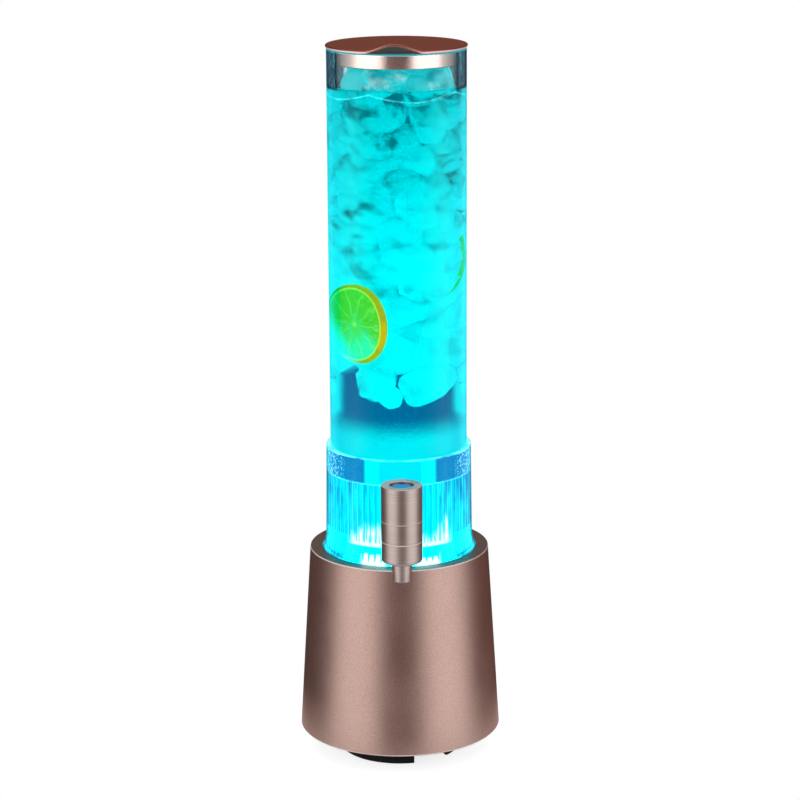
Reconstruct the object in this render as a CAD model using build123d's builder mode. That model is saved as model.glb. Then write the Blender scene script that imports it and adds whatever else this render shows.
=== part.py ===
"""Drinks tower dispenser: a clear tube on a lit base, with a press tap and a lift-off lid.

Millimetres, +Z up.  The origin is on the tube's axis, at the table.  The tap points along -Y.
"""

from build123d import *
from math import cos, hypot, pi, radians, sin, sqrt, tan
import os

os.makedirs("parts", exist_ok=True)

# ---------------------------------------------------------------- driving dimensions

# base housing
BASE_BOTTOM_R = 67.5
BASE_TOP_R = 59.6
BASE_BOTTOM_Z = 15.6
BASE_RIM_Z = 142.2
BASE_WALL = 2.6
WELL_R = 51.0               # well in the rim that the tower stands in
WELL_DEPTH = 6.0
LEDGE_T = 3.6               # floor of the well
LEDGE_BORE_R = 43.0
PLATE_T = 3.0
PLATE_GAP = 0.3             # between the underside plate and the wall
POST_R = 3.6                # screw posts that hang from the ledge
POST_PCD_R = 51.5
FOOT_OUTER_R = 41.0         # the foot is a narrow pedestal well inside the housing
FOOT_INNER_R = 37.4
FOOT_SEAT = 1.2             # depth of the foot's groove in the plate
FOOT_GAP = (-78.0, -40.0)   # degrees from +X, where the foot ring is open

# lamp under the well
LENS_R = 45.9
LENS_T = 1.8
BOARD_R = 41.0
BOARD_Z = 118.6
BOARD_T = 1.6
CHIP = 5.0
CHIP_T = 1.6
REFLECTOR_EAR_R = 50.0      # centre circle of the reflector's three ears

# battery compartment in the underside
DOOR_X = 46.0               # its corners clear the foot ring round it
DOOR_Y = 55.0
DOOR_T = 2.0
DOOR_GAP = 0.3
BOX_WALL = 1.6
BOX_TOP_Z = 38.2
BOX_BACK_Y = 33.2           # inside of the wall behind the door's hooks
CELL_R = 7.1
CELL_L = 49.2
CELL_NUB_R = 2.6
CELL_NUB_L = 1.3
CELL_PITCH = 15.6
CELL_Z = 29.1
CELL_FRONT_Y = -24.2
CONTACT_T = 0.5
CONTACT_H = 11.0
CONTACT_CONE_R = 4.2
CONTACT_WALL_DROP = 15.0    # how far the wall behind the flat contact strip hangs down

# power switch in the underside, behind the foot ring
SWITCH_Y = 51.5
SWITCH_H = 10.0
SWITCH_CAP_R = 5.6
SWITCH_CAP_Z = 13.8
SWITCH_STEM_R = 2.0

# clear tube and the fluted light sleeve round its foot
TUBE_R = 45.26
TUBE_WALL = 5.06
TUBE_TOP_Z = 474.8
TUBE_FLOOR_Z = 151.6
TUBE_FLOOR_T = 5.5
SLEEVE_TOP_Z = 212.6
SLEEVE_TOP_R = 48.06
SLEEVE_FLARE_Z = 152.6      # where the wall starts to flare out into the foot
SLEEVE_FLARE_R = 48.8
SLEEVE_FOOT_Z = 142.5
SLEEVE_FOOT_R = 50.7
SLEEVE_BORE_R = 45.36
SLEEVE_FLANGE_R = 42.0      # bore of the inward flange that the tube stands on
SLEEVE_FLANGE_Z = 143.1
GASKET_T = 0.6
FLUTES = 72
FLUTE_R = 2.4
FLUTE_RIDGE_R = 45.4        # where neighbouring flutes meet in a sharp ridge, just off the tube
FLUTE_TOP_Z = 196.1         # plain band above the flutes

# press tap
TAP_Y = -84.0
TAP_R = 13.25
TAP_TOP_Z = 207.5
TAP_UPPER_SEAM_Z = 183.9
TAP_LOWER_SEAM_Z = 170.4
TAP_BOTTOM_Z = 156.4
TAP_BOTTOM_ROUND = 2.2
SPOUT_TOP_R = 6.65
SPOUT_TIP_R = 6.0
SPOUT_BORE_R = 3.75
SPOUT_Z = 143.4
STEM_Z = 177.1
STEM_NECK_R = 6.5
STEM_FLANGE_R = 10.0
STEM_FLANGE_T = 2.4
FLANGE_Y = -51.0            # face of the stem's flange against the outer washer
STEM_THREAD_R = 5.8
STEM_BORE_R = 3.6
STEM_END_Y = -31.5
NUT_FACE_Y = -36.8          # where the nut bears on the inner washer
NUT_HALF_FLATS = 9.5
NUT_T = 4.4
WELL_BUTTON_R = 7.75        # recess in the tap's top face
BUTTON_R = 7.45
BUTTON_TOP_Z = 206.0
BUTTON_T = 4.5
BUTTON_TRAVEL = 4.0
SPINDLE_R = 2.0
SPRING_R = 5.0
SPRING_WIRE_W = 1.0         # flat wire, measured along the radius
SPRING_WIRE_H = 0.7
SPRING_TURNS = 5
SEAL_POCKET_R = 3.9         # pocket of the spindle's seal ring
SEAL_POCKET_H = 2.0
SPIGOT_R = 8.0
SPIGOT_L = 3.8

# lid
LID_R = 45.9
LID_BOTTOM_Z = 475.5
LID_T = 1.8
LID_EDGE_ROUND = 0.75
LID_TURN = -3.4             # degrees that the lid stands turned on the tube
LIP_RISE = 5.0
LIP_HALF_W = 21.5
LIP_BACK = 24.0             # distance from the axis where the lip has faded out
PLUG_R = 39.8
PLUG_WALL = 2.0
PLUG_BOTTOM_Z = 465.4

# ---------------------------------------------------------------- worked out

LEDGE_TOP_Z = BASE_RIM_Z - WELL_DEPTH
LEDGE_BOTTOM_Z = LEDGE_TOP_Z - LEDGE_T
LENS_Z = LEDGE_TOP_Z - LENS_T
PLATE_TOP_Z = BASE_BOTTOM_Z + PLATE_T
BASE_SLOPE = (BASE_BOTTOM_R - BASE_TOP_R) / (BASE_RIM_Z - BASE_BOTTOM_Z)
BOARD_TOP_Z = BOARD_Z + BOARD_T
SLEEVE_BOTTOM_Z = LEDGE_TOP_Z + GASKET_T
FLUTE_HALF_PITCH = FLUTE_RIDGE_R * sin(pi / FLUTES)
FLUTE_CENTRE_R = FLUTE_RIDGE_R * cos(pi / FLUTES) - sqrt(FLUTE_R**2 - FLUTE_HALF_PITCH**2)
TUBE_BORE_R = TUBE_R - TUBE_WALL
TUBE_BOTTOM_Z = SLEEVE_FLANGE_Z
HINGE_Y = DOOR_Y / 2
DOOR_FRONT_Y = -DOOR_Y / 2
BUTTON_BOTTOM_Z = BUTTON_TOP_Z - BUTTON_T
BUTTON_WELL_Z = BUTTON_BOTTOM_Z - BUTTON_TRAVEL - 0.4
SPRING_FLOOR_Z = TAP_UPPER_SEAM_Z + 4.2
SPRING_END_GAP = 0.08       # from the sloping wire ends to the faces that they push on
SPRING_CHAMBER_R = 6.4
SEAT_BOTTOM_Z = TAP_LOWER_SEAM_Z + 1.7
SEAT_TOP_Z = TAP_LOWER_SEAM_Z + SPIGOT_L


def base_radius(z):
    """Outer radius of the conical housing at height z."""
    return BASE_BOTTOM_R - BASE_SLOPE * (z - BASE_BOTTOM_Z)


def sleeve_radius(z):
    """Outer radius of the sleeve's tapered wall at height z, above its flare."""
    share = (z - SLEEVE_FLARE_Z) / (SLEEVE_TOP_Z - SLEEVE_FLARE_Z)
    return SLEEVE_FLARE_R + share * (SLEEVE_TOP_R - SLEEVE_FLARE_R)


def level(z, x=0.0, y=0.0):
    """A horizontal plane at height z, with its origin over (x, y)."""
    return Plane(origin=(x, y, z), x_dir=(1, 0, 0), z_dir=(0, 0, 1))


def towards_tube(y):
    """A plane square to the tap's stem, facing +Y, centred on the stem's axis."""
    return Plane(origin=(0, y, STEM_Z), x_dir=(-1, 0, 0), z_dir=(0, 1, 0))


# ---------------------------------------------------------------- base housing

# conical shell with a flat rim, the well for the tower, and four screw posts
with BuildPart() as base_shell:
    with BuildSketch(Plane.XZ):
        with BuildLine():
            Polyline(
                (BASE_BOTTOM_R, BASE_BOTTOM_Z),
                (BASE_TOP_R, BASE_RIM_Z),
                (WELL_R, BASE_RIM_Z),
                (WELL_R, LEDGE_TOP_Z),
                (LENS_R + 0.15, LEDGE_TOP_Z),
                (LENS_R + 0.15, LENS_Z),
                (LEDGE_BORE_R, LENS_Z),
                (LEDGE_BORE_R, LEDGE_BOTTOM_Z),
                (base_radius(LEDGE_BOTTOM_Z) - BASE_WALL, LEDGE_BOTTOM_Z),
                (BASE_BOTTOM_R - BASE_WALL, BASE_BOTTOM_Z),
                close=True,
            )
        make_face()
    revolve(axis=Axis.Z)
    rim_edges = base_shell.edges().filter_by(GeomType.CIRCLE).group_by(Axis.Z)[-1]
    fillet(rim_edges.sort_by(SortBy.RADIUS)[-1], radius=1.0)
    rim_edges = base_shell.edges().filter_by(GeomType.CIRCLE).group_by(Axis.Z)[-1]
    chamfer(rim_edges.sort_by(SortBy.RADIUS)[0], length=0.5)
    bottom_edges = base_shell.edges().filter_by(GeomType.CIRCLE).group_by(Axis.Z)[0]
    chamfer(bottom_edges.sort_by(SortBy.RADIUS)[-1], length=1.2)
    with BuildSketch(level(PLATE_TOP_Z)):
        with PolarLocations(POST_PCD_R, 4, start_angle=45):
            Circle(POST_R)
    extrude(amount=LEDGE_BOTTOM_Z + 0.6 - PLATE_TOP_Z)
    with BuildSketch(level(PLATE_TOP_Z)):
        with PolarLocations(POST_PCD_R, 4, start_angle=45):
            Circle(1.55)
    extrude(amount=14, mode=Mode.SUBTRACT)
    with BuildSketch(level(LEDGE_BOTTOM_Z)):
        with PolarLocations(REFLECTOR_EAR_R, 3):
            Circle(1.25)
    extrude(amount=3.0, mode=Mode.SUBTRACT)

base_shell.part.label = "base_shell"
export_step(base_shell.part, "parts/base_shell.step")

# the foot ring's outline, open on one side as a notch for lifting and for drips to escape
with BuildSketch() as foot_outline:
    Circle(FOOT_OUTER_R)
    Circle(FOOT_INNER_R, mode=Mode.SUBTRACT)
    with BuildLine():
        gap_start, gap_end = [radians(angle) for angle in FOOT_GAP]
        reach = 1.3 * FOOT_OUTER_R
        Polyline(
            (0, 0),
            (reach * cos(gap_start), reach * sin(gap_start)),
            (reach * cos(gap_end), reach * sin(gap_end)),
            close=True,
        )
    make_face(mode=Mode.SUBTRACT)

# plate that closes the underside
with BuildPart() as base_plate:
    with BuildSketch(level(BASE_BOTTOM_Z)):
        Circle(BASE_BOTTOM_R - BASE_WALL - PLATE_GAP)
    extrude(amount=PLATE_T, taper=2)
    add(foot_outline.sketch.moved(Location((0, 0, BASE_BOTTOM_Z))))
    extrude(amount=FOOT_SEAT, mode=Mode.SUBTRACT)
    with BuildSketch(level(BASE_BOTTOM_Z)):
        Rectangle(DOOR_X + 2 * DOOR_GAP, DOOR_Y + 2 * DOOR_GAP)
        with Locations((0, SWITCH_Y)):
            Circle(SWITCH_CAP_R + 0.25)
    extrude(amount=PLATE_T, mode=Mode.SUBTRACT)
    with BuildSketch(level(BASE_BOTTOM_Z)):
        with PolarLocations(POST_PCD_R, 4, start_angle=45):
            Circle(3.0)
    extrude(amount=1.4, mode=Mode.SUBTRACT)
    with BuildSketch(level(BASE_BOTTOM_Z)):
        with PolarLocations(POST_PCD_R, 4, start_angle=45):
            Circle(1.7)
    extrude(amount=PLATE_T, mode=Mode.SUBTRACT)

base_plate.part.label = "base_plate"
export_step(base_plate.part, "parts/base_plate.step")

# rubber foot in its groove
with BuildPart() as foot_ring:
    add(foot_outline.sketch)
    extrude(amount=BASE_BOTTOM_Z + FOOT_SEAT)
    ground_edges = foot_ring.edges().group_by(Axis.Z)[0]
    chamfer(ground_edges.filter_by(GeomType.CIRCLE), length=0.8)

foot_ring.part.label = "foot_ring"
export_step(foot_ring.part, "parts/foot_ring.step")

# four screws that hold the plate to the posts
with BuildPart() as plate_screws:
    with BuildSketch(level(BASE_BOTTOM_Z + 0.1)):
        with PolarLocations(POST_PCD_R, 4, start_angle=45):
            Circle(2.8)
    extrude(amount=1.3)
    with BuildSketch(level(BASE_BOTTOM_Z + 1.4)):
        with PolarLocations(POST_PCD_R, 4, start_angle=45):
            Circle(1.5)
    extrude(amount=14.0)
    with BuildSketch(level(BASE_BOTTOM_Z + 0.1)):
        with PolarLocations(POST_PCD_R, 4, start_angle=45):
            Rectangle(3.2, 0.7)
            Rectangle(0.7, 3.2)
    extrude(amount=0.8, mode=Mode.SUBTRACT)

plate_screws.part.label = "plate_screws"
export_step(plate_screws.part, "parts/plate_screws.step")

# soft ring that the tower stands on
with BuildPart() as seat_gasket:
    with BuildSketch(level(LEDGE_TOP_Z)):
        Circle(SLEEVE_FOOT_R - 0.4)
        Circle(LENS_R + 1.3, mode=Mode.SUBTRACT)
    extrude(amount=GASKET_T)

seat_gasket.part.label = "seat_gasket"
export_step(seat_gasket.part, "parts/seat_gasket.step")

# ---------------------------------------------------------------- lamp under the well

# clear window in the floor of the well
with BuildPart() as lamp_lens:
    with BuildSketch(level(LENS_Z)):
        Circle(LENS_R)
    extrude(amount=LENS_T)
    chamfer(lamp_lens.edges().group_by(Axis.Z)[-1], length=0.3)

lamp_lens.part.label = "lamp_lens"
export_step(lamp_lens.part, "parts/lamp_lens.step")

# white cup round the light board, hung from the ledge by three ears
with BuildPart() as reflector_cup:
    with BuildSketch(Plane.XZ):
        with BuildLine():
            Polyline(
                (BOARD_R - 1.5, BOARD_TOP_Z),
                (LEDGE_BORE_R - 0.6, LEDGE_BOTTOM_Z),
                (LEDGE_BORE_R + 4.6, LEDGE_BOTTOM_Z),
                (LEDGE_BORE_R + 4.6, LEDGE_BOTTOM_Z - 1.6),
                (LEDGE_BORE_R + 1.0, LEDGE_BOTTOM_Z - 1.6),
                (BOARD_R + 1.7, BOARD_Z - 1.5),
                (BOARD_R + 0.1, BOARD_Z - 1.5),
                (BOARD_R + 0.1, BOARD_TOP_Z),
                close=True,
            )
        make_face()
    revolve(axis=Axis.Z)
    with BuildSketch(level(LEDGE_BOTTOM_Z - 1.6)):
        with PolarLocations(REFLECTOR_EAR_R - 2, 3):
            SlotCenterToCenter(4, 8)
        Circle(LEDGE_BORE_R + 2, mode=Mode.SUBTRACT)
    extrude(amount=1.6)
    with BuildSketch(level(LEDGE_BOTTOM_Z - 1.6)):
        with PolarLocations(REFLECTOR_EAR_R, 3):
            Circle(1.4)
    extrude(amount=1.6, mode=Mode.SUBTRACT)

reflector_cup.part.label = "reflector_cup"
export_step(reflector_cup.part, "parts/reflector_cup.step")

with BuildPart() as reflector_screws:
    with BuildSketch(level(LEDGE_BOTTOM_Z - 1.6)):
        with PolarLocations(REFLECTOR_EAR_R, 3):
            Circle(2.2)
    extrude(amount=-1.4)
    with BuildSketch(level(LEDGE_BOTTOM_Z - 1.6)):
        with PolarLocations(REFLECTOR_EAR_R, 3):
            Circle(1.2)
    extrude(amount=4.2)

reflector_screws.part.label = "reflector_screws"
export_step(reflector_screws.part, "parts/reflector_screws.step")

with BuildPart() as light_board:
    with BuildSketch(level(BOARD_Z)):
        Circle(BOARD_R)
    extrude(amount=BOARD_T)

light_board.part.label = "light_board"
export_step(light_board.part, "parts/light_board.step")

# two rings of light chips and one in the middle
with BuildPart() as light_chips:
    with BuildSketch(level(BOARD_TOP_Z)):
        with PolarLocations(0.76 * BOARD_R, 12):
            Rectangle(CHIP, CHIP)
        with PolarLocations(0.38 * BOARD_R, 6):
            Rectangle(CHIP, CHIP)
        Rectangle(CHIP, CHIP)
    extrude(amount=CHIP_T)

light_chips.part.label = "light_chips"
export_step(light_chips.part, "parts/light_chips.step")

# ---------------------------------------------------------------- battery compartment

# box over the plate's opening, with a wall that the contact strip stands against
with BuildPart() as battery_box:
    box_front_y = DOOR_FRONT_Y - DOOR_GAP - BOX_WALL
    box_back_y = BOX_BACK_Y + BOX_WALL
    box_half_x = DOOR_X / 2 + DOOR_GAP + BOX_WALL
    with BuildSketch(level(PLATE_TOP_Z, 0, (box_front_y + box_back_y) / 2)):
        RectangleRounded(2 * box_half_x, box_back_y - box_front_y, 2.0)
    extrude(amount=BOX_TOP_Z - PLATE_TOP_Z)
    with BuildSketch(level(PLATE_TOP_Z, 0, (box_front_y + box_back_y) / 2)):
        Rectangle(
            2 * (box_half_x - BOX_WALL), box_back_y - box_front_y - 2 * BOX_WALL
        )
    extrude(amount=BOX_TOP_Z - PLATE_TOP_Z - BOX_WALL, mode=Mode.SUBTRACT)
    contact_wall_y = CELL_FRONT_Y + CELL_L + CELL_NUB_L + CONTACT_T
    with BuildSketch(level(BOX_TOP_Z - BOX_WALL, 0, contact_wall_y + BOX_WALL / 2)):
        Rectangle(2 * (box_half_x - BOX_WALL), BOX_WALL)
    extrude(amount=-CONTACT_WALL_DROP)

battery_box.part.label = "battery_box"
export_step(battery_box.part, "parts/battery_box.step")

# three cells side by side, each turned end for end from its neighbour
with BuildPart() as batteries:
    cell_end_y = CELL_FRONT_Y + CELL_L + CELL_NUB_L
    for column in (-1, 0, 1):
        nub_at_back = column != 0
        body_y = CELL_FRONT_Y if nub_at_back else CELL_FRONT_Y + CELL_NUB_L
        nub_y = cell_end_y - CELL_NUB_L if nub_at_back else CELL_FRONT_Y
        x = column * CELL_PITCH
        with BuildSketch(Plane(origin=(x, body_y, CELL_Z), z_dir=(0, 1, 0))):
            Circle(CELL_R)
        extrude(amount=CELL_L)
        with BuildSketch(Plane(origin=(x, nub_y, CELL_Z), z_dir=(0, 1, 0))):
            Circle(CELL_NUB_R)
        extrude(amount=CELL_NUB_L)

batteries.part.label = "batteries"
export_step(batteries.part, "parts/batteries.step")

# flat strip at the back, and a strip with a spring cone for each cell at the front
with BuildPart() as battery_contacts:
    strip_front_y = DOOR_FRONT_Y - DOOR_GAP
    for strip_y in (cell_end_y, strip_front_y):
        with BuildSketch(level(CELL_Z - CONTACT_H / 2, 0, strip_y + CONTACT_T / 2)):
            Rectangle(3 * CELL_PITCH - 1, CONTACT_T)
        extrude(amount=CONTACT_H)
    for column in (-1, 0, 1):
        with BuildSketch(
            Plane(
                origin=(column * CELL_PITCH, strip_front_y + CONTACT_T, CELL_Z),
                z_dir=(0, 1, 0),
            )
        ):
            Circle(CONTACT_CONE_R)
        extrude(amount=CELL_FRONT_Y - strip_front_y - CONTACT_T, taper=25)

battery_contacts.part.label = "battery_contacts"
export_step(battery_contacts.part, "parts/battery_contacts.step")

# lift-out door: hooked behind the plate at one end, finger notch at the other
with BuildPart() as battery_door:
    with BuildSketch(level(BASE_BOTTOM_Z)):
        Rectangle(DOOR_X, DOOR_Y)
    extrude(amount=DOOR_T)
    with BuildSketch(level(BASE_BOTTOM_Z, 0, DOOR_FRONT_Y + 3.5)):
        SlotOverall(16, 5)
    extrude(amount=1.1, mode=Mode.SUBTRACT)
    with BuildSketch(level(BASE_BOTTOM_Z + DOOR_T)):
        with GridLocations(CELL_PITCH, 0, 2, 1):
            Rectangle(1.2, DOOR_Y - 14)
    extrude(amount=1.8)
    for x in (-15, 15):
        with BuildSketch(level(BASE_BOTTOM_Z + DOOR_T, x, HINGE_Y - 1.2)):
            Rectangle(7, 2.4)
        extrude(amount=2.4)
        with BuildSketch(level(PLATE_TOP_Z + 0.2, x, HINGE_Y - 0.1)):
            Rectangle(7, 4.6)
        extrude(amount=1.2)

battery_door.part.label = "battery_door"
export_step(battery_door.part, "parts/battery_door.step")

# ---------------------------------------------------------------- power switch

with BuildPart() as switch_body:
    with BuildSketch(level(PLATE_TOP_Z, 0, SWITCH_Y)):
        RectangleRounded(16, 16, 1.5)
    extrude(amount=SWITCH_H)
    with BuildSketch(level(PLATE_TOP_Z, 0, SWITCH_Y)):
        Circle(SWITCH_CAP_R + 1.0)
    extrude(amount=2.6, mode=Mode.SUBTRACT)
    with BuildSketch(level(PLATE_TOP_Z, 0, SWITCH_Y)):
        Circle(SWITCH_STEM_R + 0.08)
    extrude(amount=7.0, mode=Mode.SUBTRACT)

switch_body.part.label = "switch_body"
export_step(switch_body.part, "parts/switch_body.step")

# button that is pressed up from under the base; its collar keeps it in the plate
with BuildPart() as power_button:
    with BuildSketch(level(SWITCH_CAP_Z, 0, SWITCH_Y)):
        Circle(SWITCH_CAP_R)
    extrude(amount=PLATE_TOP_Z - SWITCH_CAP_Z)
    chamfer(power_button.edges().group_by(Axis.Z)[0], length=0.8)
    with BuildSketch(level(PLATE_TOP_Z, 0, SWITCH_Y)):
        Circle(SWITCH_CAP_R + 0.7)
    extrude(amount=0.9)
    with BuildSketch(level(PLATE_TOP_Z + 0.9, 0, SWITCH_Y)):
        Circle(SWITCH_STEM_R)
    extrude(amount=3.6)

power_button.part.label = "power_button"
export_step(power_button.part, "parts/power_button.step")

# ---------------------------------------------------------------- wiring in the base


def bend_radii(points):
    """The largest arc that each corner's two runs allow, as 0.45 of the shorter run."""
    bends = []
    for before, corner, after in zip(points, points[1:], points[2:]):
        run_in = Vector(*corner) - Vector(*before)
        run_out = Vector(*after) - Vector(*corner)
        half_turn = radians(run_in.get_angle(run_out)) / 2
        bends.append(0.45 * min(run_in.length, run_out.length) / tan(half_turn))
    print("lead bend radii:", [round(bend, 1) for bend in bends])
    return bends


SWITCH_TOP_Z = PLATE_TOP_Z + SWITCH_H
LIGHT_LEAD = [
    (12, 30, BOX_TOP_Z),
    (12, 30, BOX_TOP_Z + 24),
    (-2, 12, BOX_TOP_Z + 54),
    (-2, 12, BOARD_Z),
]
SWITCH_LEAD = [
    (0, SWITCH_Y, SWITCH_TOP_Z),
    (0, SWITCH_Y, SWITCH_TOP_Z + 14),
    (0, SWITCH_Y - 14, SWITCH_TOP_Z + 22),
    (0, SWITCH_Y - 28, BOX_TOP_Z + 10),
    (0, SWITCH_Y - 28, BOX_TOP_Z),
]

with BuildPart() as wiring:
    for points, radius in ((LIGHT_LEAD, 1.5), (SWITCH_LEAD, 1.2)):
        with BuildLine() as route:
            FilletPolyline(*points, radius=bend_radii(points))
        with BuildSketch(Plane(origin=points[0], z_dir=route.line % 0)):
            Circle(radius)
        sweep(path=route.line)

wiring.part.label = "wiring"
export_step(wiring.part, "parts/wiring.step")

# ---------------------------------------------------------------- clear tube and light sleeve

with BuildPart() as tube:
    with BuildSketch(level(TUBE_BOTTOM_Z)):
        Circle(TUBE_R)
        Circle(TUBE_BORE_R, mode=Mode.SUBTRACT)
    extrude(amount=TUBE_TOP_Z - TUBE_BOTTOM_Z)
    fillet(tube.edges().group_by(Axis.Z)[-1], radius=0.5)
    with BuildSketch(towards_tube(-TUBE_R - 1)):
        Circle(STEM_THREAD_R + 0.2)
    extrude(amount=TUBE_WALL + 3, mode=Mode.SUBTRACT)

tube.part.label = "tube"
export_step(tube.part, "parts/tube.step")

# clear disc that closes the tube
with BuildPart() as tube_floor:
    with BuildSketch(level(TUBE_FLOOR_Z)):
        Circle(TUBE_BORE_R - 0.05)
    extrude(amount=TUBE_FLOOR_T)

tube_floor.part.label = "tube_floor"
export_step(tube_floor.part, "parts/tube_floor.step")

# fluted sleeve: tapered outside, concave flutes inside that spread the light, flared foot
with BuildPart() as light_sleeve:
    with BuildSketch(Plane.XZ):
        with BuildLine():
            wall = Line((SLEEVE_TOP_R, SLEEVE_TOP_Z), (SLEEVE_FLARE_R, SLEEVE_FLARE_Z))
            TangentArc(wall @ 1, (SLEEVE_FOOT_R, SLEEVE_FOOT_Z), tangent=wall % 1)
            Polyline(
                (SLEEVE_FOOT_R, SLEEVE_FOOT_Z),
                (SLEEVE_FOOT_R, SLEEVE_BOTTOM_Z),
                (SLEEVE_FLANGE_R, SLEEVE_BOTTOM_Z),
                (SLEEVE_FLANGE_R, SLEEVE_FLANGE_Z),
                (SLEEVE_BORE_R, SLEEVE_FLANGE_Z),
                (SLEEVE_BORE_R, SLEEVE_TOP_Z),
                (SLEEVE_TOP_R, SLEEVE_TOP_Z),
            )
        make_face()
    revolve(axis=Axis.Z)
    top_edges = light_sleeve.edges().group_by(Axis.Z)[-1]
    fillet(top_edges.sort_by(SortBy.RADIUS)[-1], radius=0.9)
    with BuildSketch(level(SLEEVE_FLANGE_Z)):
        with PolarLocations(FLUTE_CENTRE_R, FLUTES):
            Circle(FLUTE_R)
    extrude(amount=FLUTE_TOP_Z - SLEEVE_FLANGE_Z, mode=Mode.SUBTRACT)
    # plain pad behind the tap's stem, so that the stem clamps solid wall
    with BuildSketch(towards_tube(-FLUTE_CENTRE_R - FLUTE_R)):
        Circle(STEM_FLANGE_R)
    extrude(amount=FLUTE_R + 2)
    with BuildSketch(level(SLEEVE_FLANGE_Z)):
        Circle(SLEEVE_BORE_R)
    extrude(amount=SLEEVE_TOP_Z - SLEEVE_FLANGE_Z, mode=Mode.SUBTRACT)
    with BuildSketch(towards_tube(-SLEEVE_FOOT_R)):
        Circle(STEM_THREAD_R + 0.2)
    extrude(amount=10, mode=Mode.SUBTRACT)

light_sleeve.part.label = "light_sleeve"
export_step(light_sleeve.part, "parts/light_sleeve.step")

# ---------------------------------------------------------------- press tap

# middle section: the valve chamber, with the stem that goes through sleeve and tube
with BuildPart() as tap_body:
    with BuildSketch(level(TAP_LOWER_SEAM_Z, 0, TAP_Y)):
        Circle(TAP_R)
    extrude(amount=TAP_UPPER_SEAM_Z - TAP_LOWER_SEAM_Z)
    chamfer(tap_body.edges().filter_by(GeomType.CIRCLE), length=0.3)
    with BuildSketch(Plane.YZ):
        with BuildLine():
            Polyline(
                (TAP_Y, STEM_Z),
                (TAP_Y, STEM_Z + STEM_NECK_R),
                (FLANGE_Y - STEM_FLANGE_T, STEM_Z + STEM_NECK_R),
                (FLANGE_Y - STEM_FLANGE_T, STEM_Z + STEM_FLANGE_R - 0.8),
                (FLANGE_Y - STEM_FLANGE_T + 0.8, STEM_Z + STEM_FLANGE_R),
                (FLANGE_Y, STEM_Z + STEM_FLANGE_R),
                (FLANGE_Y, STEM_Z + STEM_THREAD_R),
                (STEM_END_Y, STEM_Z + STEM_THREAD_R),
                (STEM_END_Y, STEM_Z),
                close=True,
            )
        make_face()
    revolve(axis=Axis(origin=(0, 0, STEM_Z), direction=(0, 1, 0)))
    with BuildSketch(towards_tube(TAP_Y)):
        Circle(STEM_BORE_R)
    extrude(amount=STEM_END_Y - TAP_Y, mode=Mode.SUBTRACT)
    with BuildSketch(level(TAP_LOWER_SEAM_Z, 0, TAP_Y)):
        Circle(SPRING_CHAMBER_R - 0.4)
    extrude(amount=TAP_UPPER_SEAM_Z - TAP_LOWER_SEAM_Z, mode=Mode.SUBTRACT)
    for seam_z, inwards in ((TAP_LOWER_SEAM_Z, 1), (TAP_UPPER_SEAM_Z, -1)):
        with BuildSketch(level(seam_z, 0, TAP_Y)):
            Circle(SPIGOT_R + 0.1)
        extrude(amount=inwards * (SPIGOT_L + 0.1), mode=Mode.SUBTRACT)

tap_body.part.label = "tap_body"
export_step(tap_body.part, "parts/tap_body.step")

# upper section: spring chamber, and the recess that the button travels in
with BuildPart() as tap_barrel:
    with BuildSketch(level(TAP_UPPER_SEAM_Z, 0, TAP_Y)):
        Circle(TAP_R)
    extrude(amount=TAP_TOP_Z - TAP_UPPER_SEAM_Z)
    fillet(tap_barrel.edges().group_by(Axis.Z)[-1], radius=0.9)
    chamfer(tap_barrel.edges().group_by(Axis.Z)[0], length=0.3)
    with BuildSketch(level(BUTTON_WELL_Z, 0, TAP_Y)):
        Circle(WELL_BUTTON_R)
    extrude(amount=TAP_TOP_Z - BUTTON_WELL_Z, mode=Mode.SUBTRACT)
    mouth_edges = tap_barrel.edges().filter_by(GeomType.CIRCLE).group_by(Axis.Z)[-1]
    chamfer(mouth_edges.sort_by(SortBy.RADIUS)[0], length=0.6)
    with BuildSketch(level(SPRING_FLOOR_Z, 0, TAP_Y)):
        Circle(SPRING_CHAMBER_R)
    extrude(amount=BUTTON_WELL_Z - SPRING_FLOOR_Z, mode=Mode.SUBTRACT)
    with BuildSketch(level(TAP_UPPER_SEAM_Z, 0, TAP_Y)):
        Circle(SPIGOT_R)
    extrude(amount=-SPIGOT_L)
    with BuildSketch(level(TAP_UPPER_SEAM_Z - SPIGOT_L, 0, TAP_Y)):
        Circle(SPINDLE_R + 0.08)
    extrude(amount=SPIGOT_L + SPRING_FLOOR_Z - TAP_UPPER_SEAM_Z, mode=Mode.SUBTRACT)
    with BuildSketch(level(SPRING_FLOOR_Z, 0, TAP_Y)):
        Circle(SEAL_POCKET_R)
    extrude(amount=-SEAL_POCKET_H, mode=Mode.SUBTRACT)

tap_barrel.part.label = "tap_barrel"
export_step(tap_barrel.part, "parts/tap_barrel.step")

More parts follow.
